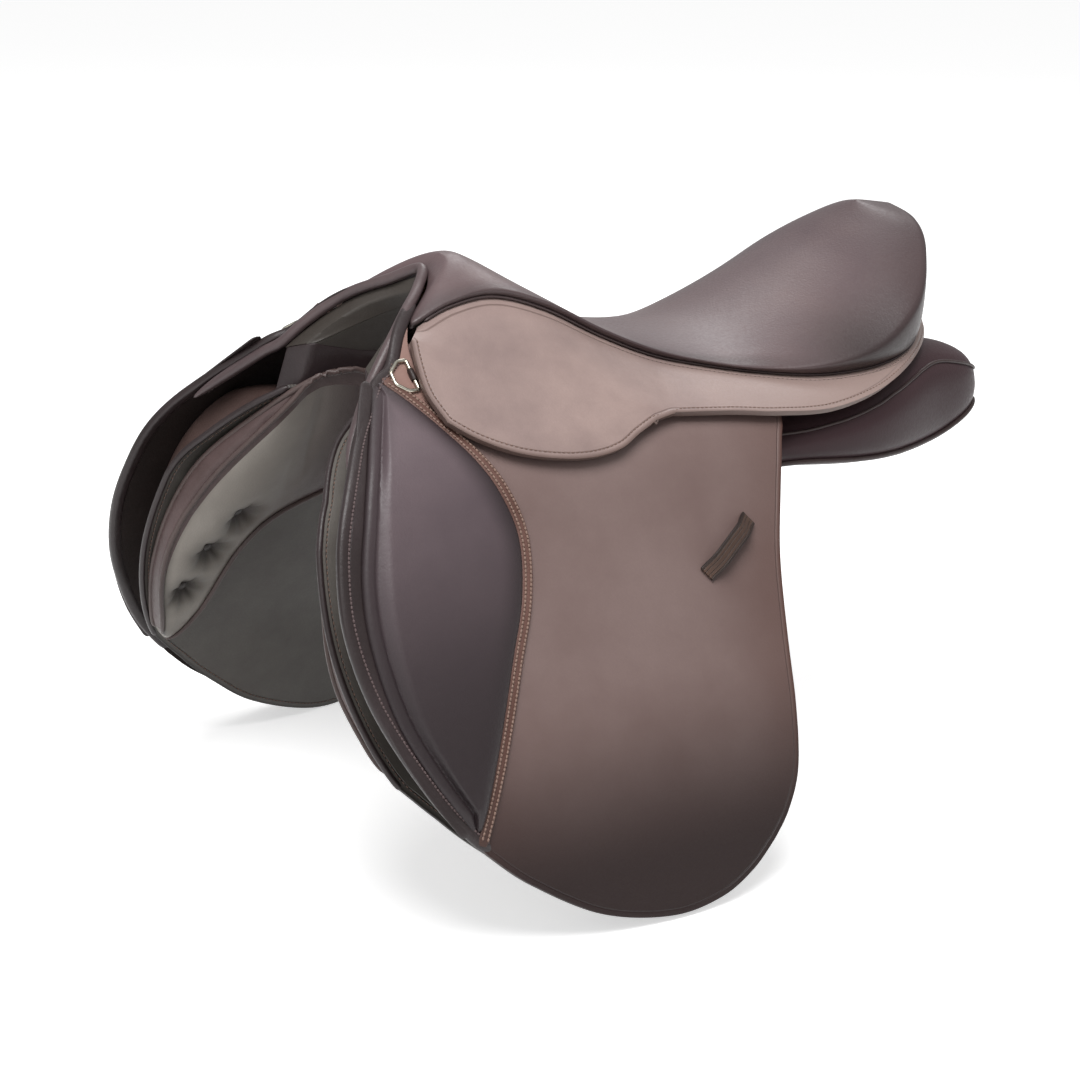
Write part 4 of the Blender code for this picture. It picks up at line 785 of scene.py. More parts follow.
def skirt_fixed(u, v):
    """Middle of the leather that stays on the saddle, slightly puffed between its edges."""
    puff = BAND_PUFF * sin(pi * v) * smooth_step(u / 0.2) * smooth_step((1 - u) / 0.1 + 0.3)
    out = Vector((0.0, -0.68, 0.73)).lerp(Vector((0.5, -0.5, 0.7)), smooth_step((u - 0.55) / 0.3))
    place = skirt_top(u).lerp(skirt_low(u), v) + out.normalized() * puff
    if u >= 1.0:
        place.y = -0.00015
    return place


def joined(meshes, name, merge=0.0):
    """One mesh from several, welded and faced out where a distance to merge is given."""
    work = bmesh.new()
    for mesh in meshes:
        work.from_mesh(mesh)
        bpy.data.meshes.remove(mesh)
    if merge:
        bmesh.ops.remove_doubles(work, verts=work.verts, dist=merge)
        bmesh.ops.recalc_face_normals(work, faces=work.faces)
    mesh = bpy.data.meshes.new(name)
    work.to_mesh(mesh)
    work.free()
    return mesh


def closed_tube(name, place, sides, rows):
    """Grid that closes round u, with both ends filled."""
    mesh = grid_mesh(name, place, sides, rows, around=True)
    with editing(mesh) as work:
        bmesh.ops.holes_fill(work, edges=work.edges, sides=sides)
        bmesh.ops.recalc_face_normals(work, faces=work.faces)
    return mesh


def roll_mesh(name, centres, outs, half_width, half_height, sides, square, taper=0.02):
    """Closed roll of oval section along places, with its ends rounded off."""
    last = len(centres) - 1

    def place(u, v):
        i = round(v * last)
        run = (centres[min(i + 1, last)] - centres[max(i - 1, 0)]).normalized()
        out = (outs[i] - run * run.dot(outs[i])).normalized()
        across = out.cross(run)
        c, s = cos(2 * pi * u), sin(2 * pi * u)
        from_end = min(min(v, 1 - v) / taper, 1.0)
        size = max(0.05, sqrt(max(0.0, 1 - (1 - from_end) ** 2)))
        x = half_width * size * (1 if c > 0 else -1) * abs(c) ** (2 / square)
        z = half_height * size * (1 if s > 0 else -1) * abs(s) ** (2 / square)
        return centres[i] + across * x + out * z

    return closed_tube(name, place, sides, last)


# Painted shade: the skirt turns slightly darker towards its rear band; its narrow dark lines are creases
skirt_leather = saddle_leather("skirting_leather_waxed", "#9d8882", "#877470", 0.44, "#6d5a54",
                               grooves_and_shade=((0, SKIRT_STITCH_INSET, 0.0011, 0.35), (1, SEAM_FOLD, 0.0012, 0.75)),
                               painted_shade=(0, -0.06, 0.10, "#96827c"))
skirt_face_w = SKIRT_LIFT + SKIRT_THICK
fold_start = on_side(*FOLD_FRONT, skirt_face_w)
fold_end = on_side(*FOLD_REAR, skirt_face_w)
fold_middle = fold_start.lerp(fold_end, 0.5)
fold_across = (fold_end - fold_start).normalized().cross(side_out(0.08)).normalized()
if fold_across.z > 0:
    fold_across = -fold_across
skirt_fold = (fold_middle - fold_across * FOLD_HALF, fold_middle + fold_across * FOLD_HALF)


def make_skirts():
    """The leather of both skirts with its two rows of stitches."""
    w = SKIRT_LIFT + SKIRT_THICK / 2
    lobe_patch = patch_between([FOLD_FRONT, FOLD_REAR], LOBE_BOTTOM, LOBE_FRONT, LOBE_REAR)
    fixed = grid_mesh("skirt_fixed", skirt_fixed, 176, 20)
    lobe = grid_mesh("skirt_lobe", laid(lobe_patch, w), 64, 34)
    mesh = joined([fixed, lobe], "skirt_leather_left", 0.00006)
    axis = (fold_end - fold_start).normalized()
    with editing(mesh) as work:
        near_fold = []
        for vertex in work.verts:
            along = (vertex.co - fold_start).dot(axis)
            if not vertex.is_boundary and (vertex.co - fold_start - axis * along).length < FOLD_REACH:
                near_fold.append(vertex)
        relax(work, near_fold, 6)
    edges = (LOBE_FRONT, LOBE_BOTTOM, LOBE_REAR[::-1])
    free_edge = [p for edge in edges for p in lay(walked(edge, 160), w)]
    free_edge += [skirt_low(NOTCH_U + (1 - NOTCH_U) * i / 200) for i in range(201)]
    seam = [skirt_top(i / 240) for i in range(241)]
    mark_rim(mesh, [free_edge, seam])
    skirt = leather_sheet("skirt_leather_left", mesh, SKIRT_THICK, skirt_leather)

    top = SKIRT_LIFT + SKIRT_THICK + THREAD_LIFT
    rows = inset_line(LOBE_FRONT, SKIRT_STITCH_INSET, (-0.12, 0.08))[2:-2]
    rows += inset_line(LOBE_BOTTOM, SKIRT_STITCH_INSET, (-0.12, 0.02))[3:-3]
    lobe_row, band_row, seam_row = lay(rows, top), [], []
    for i in range(4, 236):
        u = i / 240
        size = (skirt_top(u) - skirt_low(u)).length
        step = skirt_fixed(min(u + 0.01, 1), 0.5) - skirt_fixed(max(u - 0.01, 0), 0.5)
        normal = step.cross(skirt_top(u) - skirt_low(u)).normalized()
        if normal.z < 0:
            normal = -normal
        if u > NOTCH_U + 0.01:
            lift = normal * (SKIRT_THICK / 2 + THREAD_LIFT)
            band_row.append(skirt_fixed(u, 1 - SKIRT_STITCH_INSET / size) + lift)
        if size > 0.02 and u > 0.30:
            seam_row.append(skirt_fixed(u, SEAM_FOLD / size) + normal * (SKIRT_THICK / 2 - 0.0002))
    stitches = stitch_rows("skirt_stitches_left", [lobe_row + band_row], brown_thread,
                           0.0036, 0.0027, 0.00085)
    seam_stitches = stitch_rows("skirt_seam_stitches_left", [seam_row], dark_thread,
                                0.0036, 0.0026, 0.0008)
    on_both(skirt, ["skirt", "skirt_lobe"], "skirt_lobe", skirt_fold)
    for row in (stitches, seam_stitches):
        on_both(row, body="skirt_lobe", fold=skirt_fold)


make_skirts()


def make_seat_piping():
    """Piping in the seam between seat and skirt, run in one piece round the cantle."""
    centres, outs = [], []
    for i in range(PIPING_STEPS + 1):
        t = PIPING_START_T + (1 - PIPING_START_T) * i / PIPING_STEPS
        here = seat_place(t, 0.0)
        low = skirt_low((t - SKIRT_START_T) / (1 - SKIRT_START_T))
        out = (low - here).normalized()
        centres.append(here + out * PIPING_OUT - Vector((0, 0, PIPING_OUT)))
        outs.append(Vector((0, 0, 1)))
    centres += [Vector((p.x, -p.y, p.z)) for p in centres[-2::-1]]
    outs += outs[-2::-1]
    mesh = roll_mesh("seat_piping", centres, outs, 0.0014, 0.0011, sides=10, square=2.0, taper=0.004)
    assign(new_piece("seat_piping", mesh, dark_piping))


dark_piping = saddle_leather("dark_piping_leather", "#4a3d3d", "#352a2a", 0.42)
make_seat_piping()

# The flaps: one large cut of leather on each side, forward cut over the knee and bound at its front edge.
# It is burnished at its rear and lower edge, and a stitched border overlaps the back of the knee pad.
FLAP_THICK, FLAP_FOLD_S = 0.0045, 0.156
FLAP_TOP = ((-0.2285, 0.0300), (-0.190, 0.0360), (-0.150, 0.0420), (-0.115, 0.0540), (-0.090, 0.0730),
            (-0.067, 0.0980), (-0.045, 0.1120), (-0.010, 0.1225), (0.0440, 0.1305))
FLAP_FRONT = ((-0.2285, 0.0300), (-0.2385, 0.0375), (-0.252, 0.0475), (-0.264, 0.0560), (-0.284, 0.082),
              (-0.302, 0.108), (-0.3284, 0.1560), (-0.340, 0.192), (-0.345, 0.232), (-0.3395, 0.278),
              (-0.324, 0.322), (-0.303, 0.362), (-0.276, 0.395))
FLAP_BOTTOM = ((-0.276, 0.395), (-0.247, 0.421), (-0.195, 0.453), (-0.140, 0.4665), (-0.098, 0.4630),
               (-0.068, 0.450), (-0.046, 0.433))
FLAP_REAR = ((0.0440, 0.1305), (0.0415, 0.1420), (0.0354, 0.1560), (0.0230, 0.192), (0.009, 0.237),
             (-0.001, 0.290), (-0.009, 0.344), (-0.0165, 0.388), (-0.030, 0.415), (-0.046, 0.433))
PAD_TOP_CORNER = ((-0.2655, 0.0580), (-0.2595, 0.0575))
PAD_FRONT = ((-0.2655, 0.0580), (-0.2850, 0.0960), (-0.3000, 0.1270), (-0.3125, 0.1560), (-0.3265, 0.2000),
             (-0.3310, 0.2440), (-0.3250, 0.2950), (-0.3080, 0.3400), (-0.2860, 0.3770))
PAD_REAR = ((-0.2595, 0.0575), (-0.2400, 0.0860), (-0.2180, 0.1260), (-0.2058, 0.1560), (-0.2000, 0.1900),
            (-0.2090, 0.2310), (-0.2270, 0.2700), (-0.2480, 0.3150), (-0.2800, 0.3790))
PAD_END = (PAD_FRONT[-1], PAD_REAR[-1])
BORDER_WIDTH, BORDER_RISE = 0.0085, 0.0019 * 1.25
BORDER_TAIL, BORDER_ROWS = (-0.2835, 0.3860), (0.0014, 0.0056)
BINDING_WIDTH, BINDING_LEAD_STEPS = 0.0095, 50
# Pitch, length and width of the bold stitches
BOLD_STITCH = (0.0030, 0.0033, 0.0017)
PATCH_W = 0.0005
BAR_WINDOW = ((-0.206, 0.076), (-0.078, 0.106))
# A flat place on the side of an edge to which its inset goes: the flap's edges, the border, patch and strip
FLAP_INNER, BORDER_INNER, PATCH_INNER, STRIP_INNER = (-0.15, 0.22), (-0.1, 0.22), (-0.22, 0.08), (-0.4, 0.2)
flap_fold = (on_side(-0.15, FLAP_FOLD_S - 0.011, 0.004), on_side(-0.15, FLAP_FOLD_S + 0.011, 0.004))


def ribbon(name, line, inner, inset, width, rise, material):
    """Strip of leather laid along a flat line on the side surface, with rounded edges."""
    flat = inset_line(line, inset, inner, 220)
    outs = [side_out(p.y) for p in flat]
    mesh = roll_mesh(name, lay(flat, rise / 2), outs, width / 2, rise / 2, sides=16, square=4.0)
    return new_piece(name, mesh, material, SHARP_ANGLE)


def stitched_line(line, inner, inset, w):
    """Places of a row of stitches at an inset from an edge, short of its ends."""
    return lay(inset_line(line, inset, inner, 220), w)[4:-4]


# Painted shade: the flap turns nearly black towards its lower edge and darkens beside the pad's border. A
# wide band along its free edge is darker and redder.
flap_leather = saddle_leather("flap_leather_waxed", "#86736f", "#735f5b", 0.46, "#573c35", mottle=0.17,
                              grooves_and_shade=((0, 0.0040, 0.0009, 0.30), (1, 0.0, 0.0090, 0.35),
                                       (0, 0.0, 0.0600, 0.50)),
                              painted_shade=(2, -0.075, -0.205, "#261817"))
binding_leather = saddle_leather("soft_binding_leather", "#362c2d", "#2a2121", 0.40, spec=0.42)
# Painted shade: the border turns darker towards its lower end
border_leather = saddle_leather("stitched_border_leather", "#70524a", "#5c4038", 0.5,
                                painted_shade=(2, -0.080, -0.205, "#3a2a26"))
patch_leather = saddle_leather("flap_patch_leather", "#957870", "#85665d", 0.5, "#6b4438")
mauve_thread = waxed_thread("mauve_waxed_thread", "#5e4e4e")
tan_thread = waxed_thread("tan_waxed_thread", "#8f7468")
PATCH_TOP = ((-0.2275, 0.0170), (-0.2200, 0.0170))
PATCH_FRONT = ((-0.2275, 0.0170), (-0.2335, 0.0250), (-0.2400, 0.0345), (-0.2500, 0.0480), (-0.2585, 0.0590))
PATCH_LOW = ((-0.2585, 0.0590), (-0.2390, 0.0860), (-0.2250, 0.1120))
PATCH_REAR = ((-0.2200, 0.0170), (-0.2270, 0.0345), (-0.2290, 0.0540), (-0.2310, 0.0780), (-0.2250, 0.1120))
BINDING_LEAD = ((-0.2030, -0.0300, 0.1600), (-0.2180, -0.0425, 0.1530), (-0.2310, -0.0540, 0.1425))
# The flaps' inner face: a dark flesh side, made darker still as painted shade
flesh_and_shade = saddle_leather("dark_flesh_side_and_painted_shade", "#2e2523", "#211a18", 0.7, spec=0.2)


def shade_inside(obj, material):
    """The lower inner face of a leather sheet on the side surface is dark, as its flesh side and as painted
    shade inside the flap.
    """
    obj.data.materials.append(material)
    for face in obj.data.polygons:
        if face.center.z > 0.15 or face.normal.dot(Vector((0.0, -0.87, 0.5))) > -0.55:
            continue
        face.material_index = 1


def make_flaps():
    """Both flaps with their binding, pad border, front strip, corner patch and stitches."""
    middle_w = -FLAP_THICK / 2
    patch = patch_between(FLAP_TOP, FLAP_BOTTOM, FLAP_FRONT, FLAP_REAR)
    mesh = grid_mesh("flap_leather_left", laid(patch, middle_w), 110, 150)
    edges = (FLAP_FRONT, FLAP_BOTTOM, FLAP_REAR[::-1])
    free_edge = [p for edge in edges for p in lay(walked(edge, 90), middle_w)]
    mark_rim(mesh, [free_edge, lay(walked(PAD_REAR, 90), middle_w)])
    flap = leather_sheet("flap_leather_left", mesh, FLAP_THICK, flap_leather)
    (x0, s0), (x1, s1) = BAR_WINDOW
    window = bpy.data.meshes.new("bar_window")
    with editing(window) as work:
        bmesh.ops.create_cube(work, size=1)
        there = side_frame((x0 + x1) / 2, (s0 + s1) / 2, -0.003)
        size = Matrix.Diagonal((x1 - x0, s1 - s0, 0.02, 1))
        bmesh.ops.transform(work, verts=work.verts, matrix=there @ size)
        bmesh.ops.recalc_face_normals(work, faces=work.faces)
    cut_away(flap, window)
    shade_inside(flap, flesh_and_shade)

    binding_path = FLAP_FRONT[1:]
    flat = inset_line(binding_path, BINDING_WIDTH / 2 - 0.0012, FLAP_INNER, 220)
    joint = [tuple(p) for p in lay(flat[6:40:11], middle_w)]
    lead = walked([*BINDING_LEAD, *joint], BINDING_LEAD_STEPS)[:-1]
    centres = lead + lay(flat[40:], middle_w + 0.0004)
    outs = [side_out(0.03)] * len(lead) + [side_out(p.y) for p in flat[40:]]
    mesh = roll_mesh("flap_binding_left", centres, outs, BINDING_WIDTH / 2,
                     FLAP_THICK / 2 + 0.0014, sides=18, square=2.8, taper=0.03)
    binding = new_piece("flap_binding_left", mesh, binding_leather, SHARP_ANGLE)
    border_line = PAD_REAR + (BORDER_TAIL,)
    border = ribbon("pad_border_left", border_line, BORDER_INNER, BORDER_WIDTH / 2 - 0.0012, BORDER_WIDTH,
                    BORDER_RISE, border_leather)
    rows = [stitched_line(border_line, BORDER_INNER, inset, BORDER_RISE + THREAD_LIFT)
            for inset in BORDER_ROWS]
    seam = stitch_rows("pad_border_stitches_left", rows, tan_thread, *BOLD_STITCH)
    front_row = stitched_line(binding_path, FLAP_INNER, 0.0062, 0.0016)
    front_seam = stitch_rows("flap_binding_stitches_left", [front_row], mauve_thread, *BOLD_STITCH)
    # A dark strip along the pad's front fills the gap behind the binding; its dark colour is partly painted
    # shade of that gap
    strip = ribbon("pad_front_strip_left", PAD_FRONT, STRIP_INNER, 0.0042, 0.0092, 0.0017, binding_leather)
    corner_patch = patch_between(PATCH_TOP, PATCH_LOW, PATCH_FRONT, PATCH_REAR)
    mesh = grid_mesh("flap_patch_left", laid(corner_patch, PATCH_W), 20, 28)
    mark_rim(mesh, [lay(walked(PATCH_FRONT, 160), PATCH_W)])
    corner = leather_sheet("flap_patch_left", mesh, 0.0010, patch_leather)
    corner_row = lay(inset_line(PATCH_FRONT, 0.0024, PATCH_INNER), 0.0011)[4:-2]
    corner_seam = stitch_rows("flap_patch_stitches_left", [corner_row], brown_thread, 0.0034, 0.0026, 0.0009)
    for piece in (corner, corner_seam):
        on_both(piece)
    on_both(flap, ["flap_top", "flap"], "flap", flap_fold)
    for piece in (binding, strip, border, seam, front_seam):
        on_both(piece, body="flap", fold=flap_fold)


make_flaps()

# The knee pads: soft calf over shaped foam, glued on the flap and stitched in under its border.
# A firm roll runs down the front of each, with a pressed groove behind it, and the rest is crowned.
PAD_ROLL_HEIGHT, PAD_CROWN, PAD_EDGE, PAD_ROLL_WIDTH = 0.0036, 0.0066, 0.0010, 0.0105
# Shares of the pad's length over which it rises at its top and its foot, and of its height at the fold
PAD_TOP_RISE, PAD_FOOT_RISE, PAD_LOW_SHARE = 0.22, 0.05, 0.55

# Painted light and shade: the pad is lighter at its top, turns dark towards its foot, and darkens within
# about 22 mm of its edges
pad_calf = saddle_leather("padded_calf", "#716266", "#5c4f54", 0.44, "#1f1617", mottle=0.15,
                          grooves_and_shade=((0, 0.0, 0.0220, 0.80),), grain_mm=1.4, grain_height=0.00008,
                          painted_shade=(2, 0.120, -0.110, "#2f2729"))


def closed_pad(name, top, foot, columns, rows):
    """Closed cushion between a top and a foot surface over the same u and v."""
    wide = columns + 1
    size = wide * (rows + 1)
    points = [surface(c / columns, r / rows) for surface in (top, foot)
              for r in range(rows + 1) for c in range(wide)]
    faces = []
    for r in range(rows):
        for c in range(columns):
            i = r * wide + c
            faces.append((i, i + wide, i + wide + 1, i + 1))
            faces.append((size + i, size + i + 1, size + i + wide + 1, size + i + wide))
    rim = (list(range(columns)) + [columns + r * wide for r in range(rows)]
           + [rows * wide + c for c in range(columns, 0, -1)] + [r * wide for r in range(rows, 0, -1)])
    for a, b in zip(rim, rim[1:] + rim[:1]):
        faces.append((a, b, size + b, size + a))
    mesh = bpy.data.meshes.new(name)
    mesh.from_pydata([tuple(p) for p in points], [], faces)
    outer = set(rim)
    with editing(mesh) as work:
        work.verts.ensure_lookup_table()
        relax(work, [work.verts[i] for i in range(size) if i not in outer], 1)
        bmesh.ops.recalc_face_normals(work, faces=work.faces)
    return mesh


def make_knee_pads():
    """Both knee pads as one crowned cushion over the flap's fold."""
    patch = patch_between(PAD_TOP_CORNER, PAD_END, PAD_FRONT, PAD_REAR)

    def rise(u, v, s, width):
        share = min(0.5, PAD_ROLL_WIDTH / max(width, 0.012))
        ends = min(1.0, sqrt(min(v / PAD_TOP_RISE, (1 - v) / PAD_FOOT_RISE)))
        roll = PAD_ROLL_HEIGHT * sqrt(max(0.0, 1 - ((u / share) * 2 - 1) ** 2)) if u < share else 0.0
        fade = smooth_step((u - share * 0.9) / 0.10) * sqrt(max(0.0, 1 - max(0.0, (u - 0.62) / 0.38) ** 3))
        from_fold = smooth_step(abs(s - FLAP_FOLD_S) / 0.06)
        crown = (PAD_CROWN * PAD_LOW_SHARE + PAD_CROWN * 0.45 * from_fold) * fade
        crown *= 1 - 0.35 * ((u - 0.5) * 1.6) ** 2
        return (PAD_EDGE + max(roll, crown)) * max(ends, 0.08)

    def top(u, v):
        spot = patch(u, v)
        width = (patch(1, v) - patch(0, v)).length
        return on_side(spot.x, spot.y, 0.0003 + rise(u, v, spot.y, width))

    def foot(u, v):
        spot = patch(u, v)
        return on_side(spot.x, spot.y, 0.0002)

    mesh = closed_pad("knee_pad_calf_left", top, foot, 84, 170)
    outline = [p for edge in (PAD_FRONT, PAD_END, PAD_REAR[::-1], PAD_TOP_CORNER[::-1])
               for p in lay(walked(edge, 60), 0.001)]
    mark_rim(mesh, [outline])
    pad = new_piece("knee_pad_calf_left", mesh, pad_calf, SHARP_ANGLE)
    on_both(pad, ["knee_pad_top", "knee_pad"], "flap", flap_fold)


make_knee_pads()

# The keepers: a short loop of strap leather let into slits in each flap.
# It lies flat at both ends, arches over the stirrup leather's end, and is creased along its length.
KEEPER_ENDS = ((-0.011, 0.206), (-0.058, 0.240))
KEEPER_WIDTH, KEEPER_RISE, KEEPER_THICK = 0.013, 0.0086, 0.0022

keeper_leather = saddle_leather("creased_strap_leather", "#5d473c", "#3f2f28", 0.5, "#241a17",
                                grooves_and_shade=((0, 0.0022, 0.0006, 0.7), (0, 0.0048, 0.0005, 0.5)))


def make_keepers():
    """Both keeper loops."""
    (x0, s0), (x1, s1) = KEEPER_ENDS
    along = Vector((x1 - x0, s1 - s0)).normalized()
    across = Vector((-along.y, along.x))

    def place(u, v):
        flat = Vector((x0, s0)).lerp(Vector((x1, s1)), v) + across * (u - 0.5) * KEEPER_WIDTH
        lift = smooth_step(v / 0.28) * smooth_step((1 - v) / 0.28)
        return on_side(flat.x, flat.y, 0.0004 + KEEPER_THICK / 2 + (KEEPER_RISE - KEEPER_THICK) * lift)

    mesh = grid_mesh("keeper_loop_left", place, 12, 48)
    mark_rim(mesh, [[place(0, i / 48) for i in range(49)], [place(1, i / 48) for i in range(49)]])
    layer = mesh.uv_layers["rim"]
    for corner in layer.data:
        corner.uv = (min(corner.uv.x, corner.uv.y), 1.0)
    loop = leather_sheet("keeper_loop_left", mesh, KEEPER_THICK, keeper_leather)
    on_both(loop, ["keeper"], "flap")


make_keepers()

# The sweat flaps: thin firm leather between the girth straps and the horse, edged with a narrow piping.
# A firm knee block is stitched on the outside of each, behind the front edge, under the flap.
SWEAT_THICK, SWEAT_DEPTH_REAR, SWEAT_DEPTH_FRONT = 0.0035, 0.0180, 0.041
SWEAT_TOP = ((-0.2620, 0.0560), (-0.1700, 0.0790), (-0.0800, 0.1000), (0.0200, 0.1200))
SWEAT_FRONT = ((-0.2620, 0.0560), (-0.2860, 0.0760), (-0.3050, 0.1040), (-0.3220, 0.1420), (-0.3330, 0.1870),
               (-0.3370, 0.2300), (-0.3340, 0.2680), (-0.3250, 0.3060), (-0.3110, 0.3400))
SWEAT_BOTTOM = ((-0.3110, 0.3400), (-0.2850, 0.3725), (-0.2540, 0.4015), (-0.2150, 0.4300), (-0.1500, 0.4580),
                (-0.1050, 0.4570), (-0.0620, 0.4300))
SWEAT_REAR = ((0.0200, 0.1200), (0.0150, 0.1600), (0.0020, 0.2200), (-0.0080, 0.2800), (-0.0180, 0.3400),
              (-0.0350, 0.3950), (-0.0620, 0.4300))


def sweat_depth(x):
    """Depth of the sweat flap's outer face below the flap's outer face."""
    return SWEAT_DEPTH_REAR + (SWEAT_DEPTH_FRONT - SWEAT_DEPTH_REAR) * smooth_step((-0.05 - x) / 0.18)


sweat_leather = saddle_leather("sweat_flap_leather", "#6c6863", "#57524e", 0.42, "#2f2a27", mottle=0.09,
                               grooves_and_shade=((0, 0.0050, 0.0008, 0.5),))
block_leather = saddle_leather("knee_block_leather", "#574642", "#43332f", 0.45)


def under_face(flat, below=0.0):
    """Flat places laid on the sweat flap, so far below its outer face."""
    return [on_side(p.x, p.y, -sweat_depth(p.x) - below) for p in flat]


def make_sweat_flaps():
    """Both sweat flaps with their piping, stitches and knee blocks."""
    patch = patch_between(SWEAT_TOP, SWEAT_BOTTOM, SWEAT_FRONT, SWEAT_REAR)
    middle = SWEAT_THICK / 2
    mesh = grid_mesh("sweat_flap_leather_left", lambda u, v: under_face([patch(u, v)], middle)[0], 90, 120)
    edge = [p for line in (SWEAT_FRONT, SWEAT_BOTTOM, SWEAT_REAR[::-1]) for p in walked(line, 80)]
    mark_rim(mesh, [under_face(edge, middle)])
    flap = leather_sheet("sweat_flap_leather_left", mesh, SWEAT_THICK, sweat_leather)
    line = inset_line(SWEAT_FRONT, 0.0006, FLAP_INNER, 200)
    mesh = roll_mesh("sweat_flap_piping_left", under_face(line, middle), [side_out(p.y) for p in line],
                     0.0024, 0.0025, sides=12, square=2.0)
    piping = new_piece("sweat_flap_piping_left", mesh, binding_leather, SHARP_ANGLE)
    row = inset_line(SWEAT_FRONT + SWEAT_BOTTOM[1:], 0.0050, FLAP_INNER, 260)[6:-6]
    rows = [under_face(row, SWEAT_THICK + THREAD_LIFT), under_face(row, -THREAD_LIFT)]
    seam = stitch_rows("sweat_flap_stitches_left", rows, brown_thread, 0.0038, 0.0028, 0.0008)
    block = softened("knee_block_left", "knee_block_pad_left", block_leather, levels=2)
    on_both(flap, ["sweat_flap"])
    on_both(piping)
    on_both(seam)
    on_both(block, ["knee_block"])


make_sweat_flaps()

# The panels: two soft leather cushions, flocked with wool, that spread the load on the horse's back.
# Each runs from the rear along the channel and down the front, where three covered buttons draw it in.

# Sections of the body from the rear: the inner side's low and high place, the top, the outer high and low one
PANEL_BODY = (
    ((0.292, 0.046, 0.026), (0.292, 0.046, 0.056), (0.291, 0.059, 0.060),
     (0.288, 0.070, 0.054), (0.288, 0.070, 0.030)),
    ((0.273, 0.037, 0.011), (0.273, 0.037, 0.070), (0.268, 0.060, 0.077),
     (0.260, 0.086, 0.066), (0.263, 0.085, 0.018)),
    ((0.240, 0.034, 0.002), (0.240, 0.034, 0.082), (0.232, 0.064, 0.088),
     (0.222, 0.098, 0.074), (0.228, 0.095, 0.010)),
    ((0.190, 0.033, 0.000), (0.190, 0.033, 0.086), (0.186, 0.070, 0.090),
     (0.178, 0.118, 0.065), (0.184, 0.113, 0.008)),
    ((0.140, 0.033, 0.000), (0.140, 0.033, 0.082), (0.138, 0.075, 0.082),
     (0.132, 0.133, 0.056), (0.138, 0.126, 0.011)),
    ((0.080, 0.032, 0.008), (0.080, 0.032, 0.076), (0.080, 0.075, 0.076),
     (0.080, 0.136, 0.050), (0.080, 0.130, 0.020)),
    ((0.030, 0.031, 0.018), (0.030, 0.031, 0.075), (0.030, 0.070, 0.076),
     (0.026, 0.124, 0.044), (0.028, 0.120, 0.024)),
    ((-0.030, 0.030, 0.034), (-0.030, 0.030, 0.080), (-0.030, 0.066, 0.080),
     (-0.036, 0.128, 0.030), (-0.034, 0.120, 0.018)),
    ((-0.090, 0.030, 0.053), (-0.090, 0.029, 0.092), (-0.092, 0.060, 0.088),
     (-0.100, 0.130, 0.014), (-0.098, 0.120, 0.006)),
    ((-0.145, 0.030, 0.072), (-0.145, 0.028, 0.102), (-0.150, 0.050, 0.098),
     (-0.160, 0.124, 0.000), (-0.156, 0.114, -0.006)),
)
# Sections of the leg: its inner low place, the flat places under the sweat flap, and its outer thickness
PANEL_LEG = (
    ((-0.200, 0.031, 0.093), (-0.212, 0.030), (-0.212, 0.2080), 0.013),
    ((-0.238, 0.034, 0.106), (-0.252, 0.047), (-0.238, 0.2200), 0.013),
    ((-0.260, 0.041, 0.081), (-0.278, 0.075), (-0.254, 0.2340), 0.014),
    ((-0.285, 0.059, 0.052), (-0.297, 0.104), (-0.264, 0.2500), 0.014),
    ((-0.307, 0.080, 0.022), (-0.313, 0.138), (-0.271, 0.2680), 0.014),
    ((-0.322, 0.101, -0.010), (-0.325, 0.184), (-0.276, 0.2870), 0.013),
    ((-0.331, 0.119, -0.044), (-0.331, 0.224), (-0.282, 0.3050), 0.012),
    ((-0.331, 0.135, -0.078), (-0.331, 0.264), (-0.290, 0.3200), 0.010),
    ((-0.320, 0.156, -0.108), (-0.324, 0.300), (-0.298, 0.3320), 0.008),
    ((-0.313, 0.171, -0.126), (-0.3165, 0.326), (-0.307, 0.3390), 0.006),
)
# Each tuft's place down the leg, counted in sections, and across from its middle to its outer edge
TUFTS = ((3.05, 0.36), (4.60, 0.24), (6.15, 0.20))
TUFT_DEPTH, TUFT_REACH, BUTTON_RADIUS, BUTTON_FLATNESS = 0.0115, 0.0135, 0.0042, 0.5
# Folds that run out from each button: their number, height, distance from it and breadth
FOLD_COUNT, FOLD_HEIGHT, FOLD_AWAY, FOLD_BREADTH = 7, 0.0011, 0.011, 0.008
# Radius of each welt and how far it is raised: the three round the panel's edges, then the upper seam
WELTS = ((0.0022, 0.0022 * 0.45), (0.0022, 0.0022 * 0.45), (0.0022, 0.0002), (0.0013, 0.0013 * 0.45))
PANEL_CROWN, PANEL_GAP, SWELL_LIMIT, CLOTH_FRAMES = 0.006, 0.0003, 0.004, 20


def panel_ring(station):
    """Eight places round one section of the left panel, from the channel's lower edge over the top."""
    if len(station) == 5:
        low, high, top, out_high, out_low = (Vector((x, -y, z)) for x, y, z in station)
    else:
        x, y, z = station[0]
        low = Vector((x, -y, z))
        depth = SWEAT_THICK + 2 * PANEL_GAP

        def under_sweat(spot, thick):
            return on_side(spot[0], spot[1], -sweat_depth(spot[0]) - depth - thick)

        high, out_high = under_sweat(station[1], 0.0), under_sweat(station[2], 0.0)
        top = under_sweat(((station[1][0] + station[2][0]) / 2, (station[1][1] + station[2][1]) / 2), 0.0)
        out_low = under_sweat(station[2], station[3])
    centre = (low + high + out_high + out_low) / 4

    def crowned(a, b, amount):
        middle = (a + b) / 2
        return middle + (middle - centre).normalized() * amount

    return [low, (low + high) / 2, high, top, out_high, crowned(out_high, out_low, PANEL_CROWN / 2),
            out_low, crowned(out_low, low, PANEL_CROWN)]


def surface_path(skin, path):
    """The places of a path moved to the nearest places of a surface."""
    return [skin.find_nearest(place)[0] for place in path]


